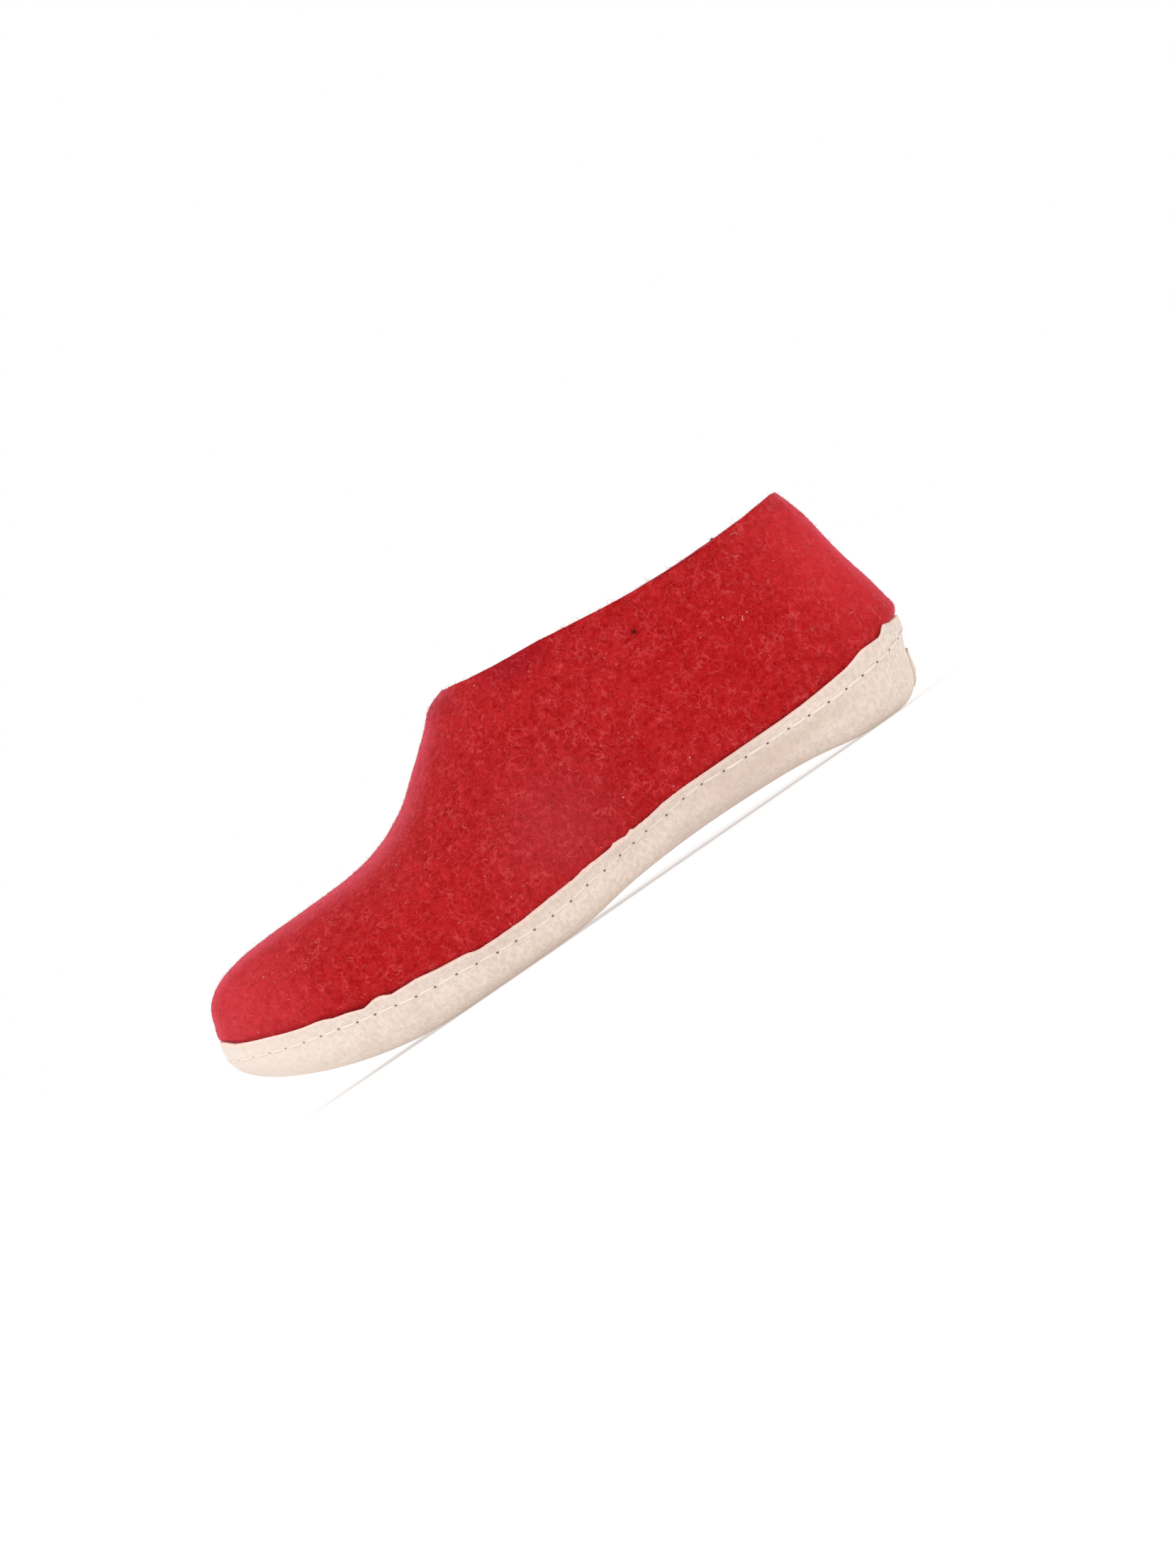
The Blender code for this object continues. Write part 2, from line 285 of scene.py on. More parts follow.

# The same in the suede: light toe, dull shank, light heel, light waist, a painted shadow strip under the
# stitches and a brushed strip
SUEDE_PATCHES = (
    # station, height mm, reach along mm, reach up mm, share, screen colour
    (0.00, 20, 62, ALL_HEIGHTS, 0.60, (242, 227, 215)),
    (0.70, 12, 34, ALL_HEIGHTS, 0.45, (219, 196, 184)),
    (1.00, 12, 38, ALL_HEIGHTS, 0.75, (244, 228, 216)),
    (0.50, 12, 40, ALL_HEIGHTS, 0.40, (242, 224, 212)),
    # painted shadow in the hollow under the stitches
    (0.79, 12, 42, 5, 0.48, (202, 180, 166)),
    (0.81, 16.5, 28, 4, 0.55, (252, 236, 224)),
)

# Coats of loose fibres on the felt, with the odds of their five shades from dark to pale
FIBRE_COATS = (
    # name, share of the count, outside, length mm, lift mm, share of the width, curl, steps, odds
    ("felt_nap", 1.0, True, 1.5, 0.20, 0.9, 2.0, 5, (0.10, 0.50, 0.34, 0.054, 0.006)),
    ("felt_curls", 0.8, True, 3.0, 0.28, 1.0, 3.0, 7, (0.04, 0.39, 0.44, 0.120, 0.010)),
    ("felt_halo", 0.45, True, 1.7, 0.60, 0.6, 2.4, 5, (0.06, 0.34, 0.42, 0.160, 0.020)),
    ("felt_lining_nap", 0.5, False, 2.2, 0.35, 1.0, 2.4, 6, (0.25, 0.50, 0.21, 0.035, 0.005)),
)

# Screen colours of the loose fibres, hairs, knots and thread ends
FIBRE_COLOURS = {
    "fibre_dark": (158, 6, 9),
    "fibre_red": (176, 16, 20),
    "fibre_bright": (200, 48, 52),
    "fibre_pink": (218, 90, 95),
    "fibre_pale": (236, 160, 148),
    "hair_light": (240, 224, 208),
    "hair_grey": (218, 204, 190),
    "burr_dark": (92, 16, 14),
    "burr_brown": (128, 26, 22),
    "knot_pale": (246, 196, 184),
    "knot_pink": (236, 140, 132),
    "tangle_pink": (222, 96, 98),
    "tangle_pale": (240, 158, 146),
    "thread_end": (236, 214, 182),
    "thread_end_dark": (212, 186, 150),
}

# Where the collar's edge sags or stands up a little
RIM_SAGS = (
    # side, where 0 is both; then station, lift mm, half width mm
    (0, 0.720, -0.6, 90.0),
    (0, 0.478, -0.5, 2.8),
    (0, 0.600, 0.4, 9.0),
    (1, 0.820, -0.7, 14.0),
    (0, 0.963, -1.0, 2.6),
    (-1, 0.600, -0.4, 20.0),
)

# About how high the collar stands
COLLAR_HEIGHTS = (
    # station, height mm
    (0.45, 88),
    (0.50, 85),
    (0.60, 82),
    (0.80, 79),
)

# Pale knots of wool that lie in the outer side of the felt, in shares of LENGTH
PALE_KNOTS = (
    # station, height, size mm
    (0.097, 0.174, 0.50),
    (0.053, 0.122, 0.42),
    (0.377, 0.072, 0.50),
    (0.405, 0.083, 0.34),
    (0.4355, 0.085, 0.30),
    (0.393, 0.122, 0.34),
    (0.586, 0.106, 0.34),
    (0.645, 0.082, 0.40),
    (0.681, 0.100, 0.32),
    (0.514, 0.3225, 0.42),
    (0.311, 0.195, 0.42),
    (0.776, 0.213, 0.30),
    (0.812, 0.218, 0.36),
)

# Tangles of paler wool on the outer side: in shares of LENGTH, with the shade to use
PALE_TANGLES = (
    # station, height, spread mm, strands, shade
    (0.135, 0.157, 1.5, 6, 0),
    (0.150, 0.163, 1.7, 8, 0),
    (0.166, 0.170, 1.7, 8, 0),
    (0.182, 0.176, 1.5, 6, 0),
    (0.150, 0.152, 1.5, 4, 0),
    (0.112, 0.168, 1.4, 4, 0),
    (0.205, 0.186, 1.6, 4, 0),
    (0.347, 0.225, 2.6, 6, 0),
    (0.372, 0.240, 2.6, 6, 0),
    (0.342, 0.168, 2.2, 4, 0),
    (0.472, 0.180, 2.4, 5, 0),
    (0.560, 0.150, 2.4, 4, 0),
    (0.617, 0.178, 2.4, 5, 0),
    (0.660, 0.260, 2.4, 4, 0),
    (0.720, 0.130, 2.6, 4, 0),
    (0.775, 0.235, 1.6, 4, 0),
    (0.905, 0.172, 1.8, 4, 0),
    (0.829, 0.205, 0.5, 4, 1),
    (0.836, 0.207, 0.5, 4, 1),
)

# Knots of dark wool caught in the felt, one on the side and one on the far rim, in shares of LENGTH
BURRS = (
    # side, station, height, size mm
    (1, 0.712, 0.265, 1.00),
    (-1, 0.864, 0.3095, 0.70),
)

# Thread ends that stand out of the heel seam
FRAYED_ENDS = (
    # height mm, length mm, rise, side mm
    (8.6, 2.2, 0.5, 0.2),
    (8.9, 1.9, -0.2, -0.3),
    (9.3, 2.4, 0.9, 0.1),
    (8.2, 1.5, -0.8, 0.3),
    (9.0, 2.0, 0.2, -0.1),
    (10.2, 1.2, 1.2, -0.2),
    (5.2, 1.0, -0.4, 0.2),
)


def srgb(red, green, blue):
    """A screen colour of 0 to 255 a channel, as the linear colour that shaders take."""
    shares = [value / 255 for value in (red, green, blue)]
    return tuple(s / 12.92 if s <= 0.04045 else ((s + 0.055) / 1.055) ** 2.4 for s in shares)


class FeltSettings(PropertyGroup):
    """The wool felt of the upper and the insole."""

    wool: FloatVectorProperty(
        name="Wool", description="Main colour of the felt", subtype="COLOR", min=0, max=1,
        default=srgb(168, 0, 1),
    )
    shade: FloatVectorProperty(
        name="Shade", description="Colour between the clumps of wool", subtype="COLOR", min=0, max=1,
        default=srgb(140, 0, 0),
    )
    wisp: FloatVectorProperty(
        name="Wisp", description="Colour of the raised clumps and curled fibres", subtype="COLOR", min=0,
        max=1, default=srgb(199, 42, 46),
    )
    unevenness: FloatProperty(
        name="Unevenness", description="How far the surface wanders", subtype="DISTANCE",
        default=0.16 * MM, min=0.0, max=1.0 * MM,
    )
    fibres: IntProperty(
        name="Fibres", description="Loose fibres in the fullest coat of them", default=20000,
        min=0, max=30000,
    )
    fibre_width: FloatProperty(
        name="Fibre width", description="Width of a loose fibre", subtype="DISTANCE",
        default=0.085 * MM, min=0.02 * MM, max=0.5 * MM,
    )


class SuedeSettings(PropertyGroup):
    """The suede of the cup sole, and its sewing."""

    suede: FloatVectorProperty(
        name="Suede", description="Main colour of the nap", subtype="COLOR", min=0, max=1,
        default=srgb(221, 204, 192),
    )
    light: FloatVectorProperty(
        name="Light nap", description="Colour where the nap is brushed up", subtype="COLOR", min=0, max=1,
        default=srgb(235, 220, 208),
    )
    edge_grey: FloatVectorProperty(
        name="Edge grey", description="Colour of the handled strip above the sewing", subtype="COLOR",
        min=0, max=1, default=srgb(212, 200, 184),
    )
    thread: FloatVectorProperty(
        name="Thread", description="Colour of the sewing thread", subtype="COLOR", min=0, max=1,
        default=srgb(252, 240, 228),
    )
    pitch: FloatProperty(
        name="Pitch", description="Length of one stitch round the toe and the heel", subtype="DISTANCE",
        default=7.25 * MM, min=3 * MM, max=15 * MM,
    )
    thread_width: FloatProperty(
        name="Thread width", description="Width of the sewing thread", subtype="DISTANCE",
        default=1.25 * MM, min=0.3 * MM, max=2 * MM,
    )


class StageSettings(PropertyGroup):
    """The floor, the light and the camera."""

    floor: FloatVectorProperty(
        name="Floor", description="Colour of the floor", subtype="COLOR", min=0, max=1,
        default=(0.60, 0.60, 0.60),
    )
    key: FloatProperty(
        name="Key light", description="Power of the soft light", default=26.0, min=0, unit="POWER",
    )
    distance: FloatProperty(
        name="Camera distance", description="How far away the camera stands", subtype="DISTANCE",
        default=4.0, min=0.5, max=20,
    )
    elevation: FloatProperty(
        name="Elevation", description="How far the camera looks down", subtype="ANGLE",
        default=math.radians(0.3), min=0, max=1.5,
    )
    roll: FloatProperty(
        name="Roll", description="How far the picture is turned, heel up", subtype="ANGLE",
        default=math.radians(34.59), min=-3.2, max=3.2,
    )


# Places on the slipper


def station(y):
    """The share of the way from the tip of the toe to the back of the heel."""
    return (y - TOE_Y) / LENGTH


def table_value(rows, places):
    """What a table of stations and values says at these places."""
    stations, values = zip(*rows)
    return np.interp(places, stations, values)


def toe_angle(x, y):
    """The turn about the middle of the slipper, from 0 at the toe to pi at the back of the heel."""
    return np.arctan2(x, -y)


def smooth_step(values, low, high):
    """0 at low and 1 at high, whichever of them is larger, with a soft change between them."""
    share = np.clip((values - low) / (high - low), 0.0, 1.0)
    return share * share * (3 - 2 * share)


def bell(places, at, half_width):
    """A soft bump along the slipper: 1 at a station, and fading out beyond the half width in mm."""
    return np.exp(-(((places - at) * LENGTH / (half_width * MM)) ** 2))


def one_side(amounts, points, side):
    """The amounts on one side of the slipper only, or on both where side is 0."""
    return amounts if side == 0 else amounts * (points[:, 0] * side > 0)


def swell(rows, points):
    """How far the bells of a table move each point outward."""
    lift = np.zeros(len(points))
    for side, at, height, along, across, amount in rows:
        ahead = (station(points[:, 1]) - at) * LENGTH / (along * MM)
        above = (points[:, 2] - height * MM) / (across * MM)
        lift += one_side(amount * MM * np.exp(-(ahead ** 2 + above ** 2)), points, side)
    return lift


class CutEdge:
    """The outer line of the suede's top edge, by the turn about the middle of the slipper."""

    def __init__(self, mesh):
        points = coordinates(mesh)
        above, beside = set(), set()
        for polygon in mesh.polygons:
            if polygon.normal.z > 0.6:
                above.update(polygon.vertices)
            elif polygon.normal.xy.dot(away(polygon.center)) > 0.5:
                beside.update(polygon.vertices)
        line = points[sorted(above & beside)]
        line = line[np.argsort(toe_angle(line[:, 0], line[:, 1]))]
        turn = toe_angle(line[:, 0], line[:, 1])
        self.turn = np.concatenate([[turn[-1] - math.tau], turn, [turn[0] + math.tau]])
        self.line = np.vstack([line[-1], line, line[0]])
        steps = np.linalg.norm(np.diff(self.line, axis=0), axis=1)
        self.run = np.concatenate([[0.0], np.cumsum(steps)])
        self.girth = float(steps[1:].sum())

    def at(self, turn):
        """Points of the line at these turns."""
        return np.column_stack([np.interp(turn, self.turn, self.line[:, i]) for i in range(3)])

    def length_to(self, turn):
        """Way along the line from the back of the heel's inner side."""
        return np.interp(turn, self.turn, self.run) - np.interp(-math.pi, self.turn, self.run)

    def turn_at(self, length):
        """The turn that lies this far along the line."""
        return np.interp(length + np.interp(-math.pi, self.turn, self.run), self.run, self.turn)


class TopLine:
    """The height of the finished top edge of the suede, by the turn about the middle of the slipper."""

    SLOTS = 480

    def __init__(self, mesh, edge):
        points, normals = coordinates(mesh), vertex_normals(mesh)
        turn = toe_angle(points[:, 0], points[:, 1])
        on_top = (normals[:, 2] > 0.5) & (np.abs(points[:, 2] - edge.at(turn)[:, 2]) < 3.5 * MM)
        slots = np.floor((turn[on_top] + math.pi) / math.tau * self.SLOTS).astype(int) % self.SLOTS
        highest = np.full(self.SLOTS, -1.0)
        np.maximum.at(highest, slots, points[on_top, 2])
        used = np.flatnonzero(highest > 0)
        self.turn = (used + 0.5) / self.SLOTS * math.tau - math.pi
        self.height = highest[used]

    def at(self, turn):
        return np.interp(turn, self.turn, self.height, period=math.tau)


def finished_top():
    """The top edge of the finished suede sole."""
    return TopLine(bpy.data.objects["suede_sole"].data, CutEdge(merged_node_mesh("sole")))


def away(place):
    """The level direction from the slipper's middle line out to a place."""
    front, back = MIDDLE_LINE
    middle = Vector((0.0, min(max(place[1], front), back)))
    return (Vector((place[0], place[1])) - middle).normalized()


# Handling objects


def read_vectors(items, name):
    """A vector property of all the items, as rows."""
    flat = np.empty(len(items) * 3)
    items.foreach_get(name, flat)
    return flat.reshape(-1, 3)


def coordinates(mesh):
    return read_vectors(mesh.vertices, "co")


def vertex_normals(mesh):
    return read_vectors(mesh.vertex_normals, "vector")


def whole_numbers(items, name, each=1):
    """A property of whole numbers of all the items, each of which holds this many."""
    numbers = np.empty(len(items) * each, dtype=int)
    items.foreach_get(name, numbers)
    return numbers


def set_coordinates(mesh, points):
    mesh.vertices.foreach_set("co", points.ravel())
    mesh.update()


def write_attribute(mesh, name, values):
    """Stores one number a point, for a material to read."""
    layer = mesh.attributes.new(name, "FLOAT", "POINT")
    layer.data.foreach_set("value", values)


def surface_tree(obj):
    """What rays are cast at, and nearest places are found on, for an object."""
    return BVHTree.FromPolygons(
        [vertex.co for vertex in obj.data.vertices], [tuple(p.vertices) for p in obj.data.polygons]
    )


def pick(obj):
    """Makes obj the only selected object and the active one."""
    bpy.ops.object.select_all(action="DESELECT")
    obj.select_set(True)
    bpy.context.view_layer.objects.active = obj


def finish_piece(obj, material, stands_for=None):
    """Gives a piece its material, rides it on the slipper's one body and hides the CAD part that it stands
    for.
    """
    if material is not None:
        obj.data.materials.clear()
        obj.data.materials.append(material)
    pick(obj)
    bpy.ops.object.shade_smooth()
    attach(obj, "root")
    if stands_for:
        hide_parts(stands_for)


@contextmanager
def editing(obj, kind="VERT"):
    """Edit mode on one object, with nothing selected at its start or its end."""
    pick(obj)
    bpy.ops.object.mode_set(mode="EDIT")
    bpy.ops.mesh.select_mode(type=kind)
    bpy.ops.mesh.select_all(action="DESELECT")
    yield
    bpy.ops.mesh.select_all(action="DESELECT")
    bpy.ops.mesh.select_mode(type="VERT")
    bpy.ops.object.mode_set(mode="OBJECT")


def copy_of_node(name, piece):
    """A new object with the CAD node's mesh, merged and in quads, ready to be subdivided."""
    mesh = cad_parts[name].data.copy()
    mesh.name = piece
    obj = bpy.data.objects.new(piece, mesh)
    bpy.context.collection.objects.link(obj)
    with editing(obj):
        bpy.ops.mesh.select_all(action="SELECT")
        bpy.ops.mesh.remove_doubles(threshold=1e-5)
        bpy.ops.mesh.tris_convert_to_quads(
            face_threshold=math.radians(60), shape_threshold=math.radians(120)
        )
    return obj


def merged_node_mesh(name):
    """A throwaway merged copy of a CAD node's mesh."""
    obj = copy_of_node(name, "scratch")
    mesh = obj.data
    bpy.data.objects.remove(obj)
    return mesh


def crease_sharp_edges(obj, sharpness, crease):
    """Keeps the cut edges of a wall from rounding away when it is subdivided."""
    with editing(obj, "EDGE"):
        bpy.ops.mesh.edges_select_sharp(sharpness=sharpness)
        bpy.ops.transform.edge_crease(value=crease)


def cut_across(obj, places, axis):
    """Cuts the whole mesh at these places along an axis."""
    with editing(obj):
        for place in places:
            bpy.ops.mesh.select_all(action="SELECT")
            bpy.ops.mesh.bisect(plane_co=axis * place, plane_no=axis)


def face_outward(obj):
    """Turns every face of a closed mesh to point out of it."""
    with editing(obj):
        bpy.ops.mesh.select_all(action="SELECT")
        bpy.ops.mesh.normals_make_consistent(inside=False)


def subdivide(obj, levels):
    """Rounds the mesh off with an applied Subdivision Surface."""
    pick(obj)
    modifier = obj.modifiers.new("rounding", "SUBSURF")
    modifier.levels = levels
    modifier.render_levels = levels
    bpy.ops.object.modifier_apply(modifier=modifier.name)


def mesh_object(name, points, faces):
    """A new object from lists of points and faces."""
    mesh = bpy.data.meshes.new(name)
    mesh.from_pydata(points, [], faces)
    mesh.update()
    obj = bpy.data.objects.new(name, mesh)
    bpy.context.collection.objects.link(obj)
    return obj


# Building shader trees


class Shader:
    """A material with one Principled shader and short ways to add nodes to it."""

    def __init__(self, name, **inputs):
        self.material = bpy.data.materials.new(name)
        self.material.use_nodes = True
        self.nodes = self.material.node_tree.nodes
        self.links = self.material.node_tree.links
        self.surface = self.nodes["Principled BSDF"]
        self.fill(self.surface, inputs)

    def feed(self, socket, value):
        """Links another node's output to the socket, or sets the socket's own value or opaque colour."""
        if isinstance(value, bpy.types.NodeSocket):
            self.links.new(value, socket)
        else:
            socket.default_value = (*value, 1.0) if socket.type == "RGBA" else value

    def fill(self, node, inputs):
        for name, value in inputs.items():
            self.feed(node.inputs[name.replace("_", " ")], value)

    def node(self, kind, settings=None, **inputs):
        made = self.nodes.new(kind)
        for name, value in (settings or {}).items():
            setattr(made, name, value)
        self.fill(made, inputs)
        return made

    def place(self):
        """Object coordinates."""
        return self.node("ShaderNodeTexCoord").outputs["Object"]

    def noise(self, vector, size, detail=2.0, roughness=0.5):
        """Soft noise from 0 to 1, whose patches are about this size."""
        made = self.node(
            "ShaderNodeTexNoise", Vector=vector, Scale=1 / size, Detail=detail, Roughness=roughness
        )
        return made.outputs["Fac"]

    def vector_math(self, operation, *values):
        made = self.node("ShaderNodeVectorMath", {"operation": operation})
        for socket, value in zip(made.inputs, values):
            self.feed(socket, value)
        return made.outputs

    def warp(self, vector, size, reach):
        """The vector, pushed about by noise so that straight things curl."""
        cloud = self.node("ShaderNodeTexNoise", Vector=vector, Scale=1 / size, Detail=2.0)
        push = self.vector_math("SUBTRACT", cloud.outputs["Color"], (0.5, 0.5, 0.5))[0]
        push = self.node("ShaderNodeVectorMath", {"operation": "SCALE"}, Vector=push, Scale=reach * 2)
        return self.vector_math("ADD", vector, push.outputs[0])[0]

    def math(self, operation, *values):
        made = self.node("ShaderNodeMath", {"operation": operation})
        for socket, value in zip(made.inputs, values):
            self.feed(socket, value)
        return made.outputs[0]

    def times(self, product, *factors):
        for factor in factors:
            product = self.math("MULTIPLY", product, factor)
        return product

    def plus(self, total, *terms):
        for term in terms:
            total = self.math("ADD", total, term)
        return total

    def ramp(self, value, low, high, out_low=0.0, out_high=1.0):
        """A smooth step from out_low at low to out_high at high."""
        made = self.node(
            "ShaderNodeMapRange", {"interpolation_type": "SMOOTHSTEP"},
            Value=value, From_Min=low, From_Max=high, To_Min=out_low, To_Max=out_high,
        )
        return made.outputs["Result"]

    def threads(self, vector, size, width):
        """Thin curled lines, as loose fibres draw: 1 on a line and 0 beside it."""
        cloud = self.noise(vector, size, detail=1.0)
        off = self.math("ABSOLUTE", self.math("SUBTRACT", cloud, 0.5))
        return self.ramp(off, 0.0, width, 1.0, 0.0)

    def zone(self, place, at, height, along, up=ALL_HEIGHTS):
        """A soft patch across the slipper: 1 at a station and a height, and 0 from its reach on, in mm."""
        centre = (0.0, TOE_Y + at * LENGTH, height * MM)
        shifted = self.vector_math("SUBTRACT", place, centre)[0]
        scaled = self.vector_math("DIVIDE", shifted, (0.5, along * MM, up * MM))[0]
        return self.ramp(self.vector_math("LENGTH", scaled)["Value"], 0.0, 1.0, 1.0, 0.0)

    def attribute(self, name):
        return self.node("ShaderNodeAttribute", {"attribute_name": name}).outputs["Fac"]

    def mix(self, share, first, second):
        made = self.node("ShaderNodeMix", {"data_type": "RGBA"})
        for index, value in ((0, share), (6, first), (7, second)):
            self.feed(made.inputs[index], value)
        return made.outputs[2]

    def tint(self, colour, share, *screen):
        """The colour, moved by this share to a screen colour."""
        return self.mix(share, colour, srgb(*screen))

    def patches(self, colour, place, rows):
        """The colour, tinted in the soft patches of a table."""
        for at, height, along, up, share, screen in rows:
            colour = self.tint(colour, self.times(self.zone(place, at, height, along, up), share), *screen)
        return colour

    def paint(self, colour):
        """Gives the surface its colour."""
        self.feed(self.surface.inputs["Base Color"], colour)

    def bump(self, height, distance, strength):
        made = self.node("ShaderNodeBump", Height=height, Distance=distance, Strength=strength)
        self.feed(self.surface.inputs["Normal"], made.outputs["Normal"])


def felt_material(name, settings, worn=0.0):
    """Wool felt: mottled, with curled lighter fibres pressed into it and a painted pink sheen at grazing
    angles.
    """
    felt = Shader(
        name, Roughness=0.92, Specular_IOR_Level=0.08, Sheen_Weight=0.24, Sheen_Roughness=0.34,
        Sheen_Tint=srgb(255, 110, 130),
    )
    place = felt.place()
    clumps = felt.noise(felt.warp(place, 2.0 * MM, 1.0 * MM), 2.7 * MM, detail=5.0, roughness=0.84)
    wide = felt.noise(place, 36 * MM)
    grain = felt.noise(place, 0.6 * MM, roughness=0.7)
    long_wisps = felt.threads(felt.warp(place, 2.8 * MM, 1.6 * MM), 3.0 * MM, 0.060)
    short_wisps = felt.threads(felt.warp(place, 1.5 * MM, 0.9 * MM), 1.5 * MM, 0.075)
    thick = felt.ramp(felt.noise(place, 5 * MM), 0.40, 0.62)
    mottle = felt.plus(felt.times(clumps, 0.86), felt.times(wide, 0.14))
    colour = felt.mix(felt.ramp(mottle, 0.345, 0.655), settings.shade, settings.wisp)
    colour = felt.mix(0.34, colour, settings.wool)
    # The patches include painted sheen on the toe and the heel.
    colour = felt.patches(colour, place, FELT_PATCHES)
    colour = felt.tint(colour, felt.times(long_wisps, thick, 0.50), 216, 80, 83)
    colour = felt.tint(colour, felt.times(short_wisps, 0.23), 206, 64, 67)
    colour = felt.mix(felt.ramp(grain, 0.35, 0.7, 0.0, 0.15), colour, settings.wisp)
    # Painted sheen: the colour turns pale pink where the surface is seen at a grazing angle.
    facing = felt.node("ShaderNodeLayerWeight", Blend=0.5).outputs["Facing"]
    colour = felt.tint(colour, felt.ramp(facing, 0.55, 1.0, 0.0, 0.74), 234, 94, 112)
    # Painted shade: a dark line on the felt just above the suede's edge, weaker at the open front of the toe.
    joint_shadow = felt.ramp(felt.attribute("above_edge"), 0.05 * MM, 0.60 * MM, 0.42, 0.0)
    open_front = felt.math("MULTIPLY_ADD", felt.zone(place, 0.06, 30, 40, 40), -0.75, 1.0)
    colour = felt.tint(colour, felt.times(joint_shadow, open_front), 96, 10, 14)
    # Painted shade: a dark line along the top of the collar.
    colour = felt.tint(colour, felt.times(felt.attribute("collar_shade_line"), 0.55), 128, 8, 30)
    if worn:
        colour = felt.mix(worn, colour, settings.shade)
    felt.paint(colour)
    height = felt.plus(
        felt.times(long_wisps, 0.14), felt.times(grain, 0.5), felt.times(short_wisps, 0.08),
        felt.times(clumps, 1.3),
    )
    felt.bump(height, 0.50 * MM, 0.9)
    return felt.material


def fibre_materials(*names):
    """Loose fibres, each of one colour from end to end, with a soft sheen."""
    shaders = [
        Shader(
            name, Base_Color=srgb(*FIBRE_COLOURS[name]), Roughness=0.85, Specular_IOR_Level=0.15,
            Sheen_Weight=0.3, Sheen_Roughness=0.45, Sheen_Tint=srgb(255, 140, 155),
        )
        for name in names
    ]
    return [shader.material for shader in shaders]


def suede_material(settings):
    """Pale suede: brushed nap, a painted highlight just below the cut edge, a handled strip below it and a
    soiled lower edge.
    """
    suede = Shader(
        "suede", Roughness=0.94, Specular_IOR_Level=0.12, Sheen_Weight=0.16, Sheen_Roughness=0.5,
        Sheen_Tint=srgb(255, 246, 236),
    )
    place = suede.place()
    along = suede.node("ShaderNodeUVMap", {"uv_map": "wall"}).outputs["UV"]
    depth = suede.node("ShaderNodeSeparateXYZ", Vector=along).outputs["Y"]
    slant = (0.0, 0.0, math.radians(-38))
    slanted = suede.node("ShaderNodeMapping", Vector=along, Scale=(1.0, 0.28, 1.0), Rotation=slant)
    strokes = suede.noise(slanted.outputs["Vector"], 0.9 * MM, detail=3.0, roughness=0.6)
    patches = suede.noise(place, 6 * MM, detail=4.0, roughness=0.65)
    wide = suede.noise(place, 30 * MM, detail=1.0)
    grain = suede.noise(place, 0.45 * MM, roughness=0.7)
    nap = suede.plus(suede.times(strokes, 0.45), suede.times(patches, 0.55))
    colour = suede.mix(suede.ramp(nap, 0.36, 0.64), settings.suede, settings.light)
    colour = suede.tint(colour, suede.ramp(wide, 0.4, 0.7, 0.0, 0.25), 230, 206, 192)
    # The patches include a painted shadow strip under the stitches.
    colour = suede.patches(colour, place, SUEDE_PATCHES)
    ragged = suede.plus(depth, suede.times(patches, 4 * MM))
    handled = suede.times(suede.ramp(ragged, 3.4 * MM, 6.4 * MM, 1.0, 0.0), 0.20)
    colour = suede.mix(handled, colour, settings.edge_grey)
    soiled = suede.ramp(suede.plus(suede.attribute("wall_share"), suede.times(patches, 0.16)), 0.95, 1.10)
    colour = suede.tint(colour, suede.times(soiled, 0.17), 170, 150, 134)
    specks = suede.ramp(suede.noise(place, 1.6 * MM, detail=3.0, roughness=0.7), 0.38, 0.60, 0.42, 0.0)
    even_toe = suede.math("MULTIPLY_ADD", suede.zone(place, 0.0, 20, 62), -0.65, 1.0)
    colour = suede.tint(colour, suede.times(specks, even_toe), 196, 180, 168)
    blush = suede.ramp(suede.noise(place, 5 * MM), 0.64, 0.76)
    colour = suede.tint(colour, suede.times(blush, 0.30), 242, 198, 186)
    colour = suede.tint(colour, suede.ramp(grain, 0.40, 0.75, 0.0, 0.20), 200, 180, 166)
    # Painted highlight: the suede turns paler and pinker just below its cut edge.
    colour = suede.tint(colour, suede.ramp(depth, 0.3 * MM, 1.3 * MM, 0.50, 0.0), 255, 220, 207)
    colour = suede.tint(colour, suede.times(suede.attribute("rim_shadow"), 0.10), 140, 96, 86)
    suede.paint(colour)
    height = suede.plus(suede.times(strokes, 0.9), suede.times(grain, 0.45), suede.times(patches, 0.6))
    suede.bump(height, 0.28 * MM, 0.6)
    return suede.material


def thread_material(settings):
    """Waxed sewing thread with the slant of its twisted plies."""
    thread = Shader("sewing_thread", Roughness=0.6, Specular_IOR_Level=0.3, Sheen_Weight=0.2)
    along = thread.node("ShaderNodeUVMap", {"uv_map": "ply"}).outputs["UV"]
    plies = thread.node(
        "ShaderNodeTexWave", {"wave_type": "BANDS", "bands_direction": "DIAGONAL"},
        Vector=along, Scale=5.0, Distortion=1.5, Detail=1.0,
    ).outputs["Fac"]
    wear = thread.noise(thread.place(), 2.5 * MM, detail=3.0)
    colour = thread.mix(plies, srgb(238, 222, 206), settings.thread)
    thread.paint(thread.tint(colour, thread.ramp(wear, 0.55, 0.85, 0.0, 0.35), 232, 214, 196))
    thread.bump(plies, 0.08 * MM, 0.5)
    return thread.material


def hole_material():
    """The shadowed mouth of a needle hole, dark in the middle and fading out to the suede."""
    hole = Shader("needle_hole", Roughness=0.95, Specular_IOR_Level=0.05)
    rim = hole.attribute("hole_rim")
    speckle = hole.noise(hole.place(), 0.35 * MM)
    edge = hole.plus(rim, hole.times(hole.math("SUBTRACT", speckle, 0.5), 0.5))
    toe = hole.zone(hole.place(), 0.0, 20, 46)
    mouth = hole.tint(srgb(104, 94, 84), toe, 206, 186, 170)
    hole.paint(hole.tint(mouth, hole.ramp(edge, 0.20, 0.95), 226, 210, 198))
    return hole.material


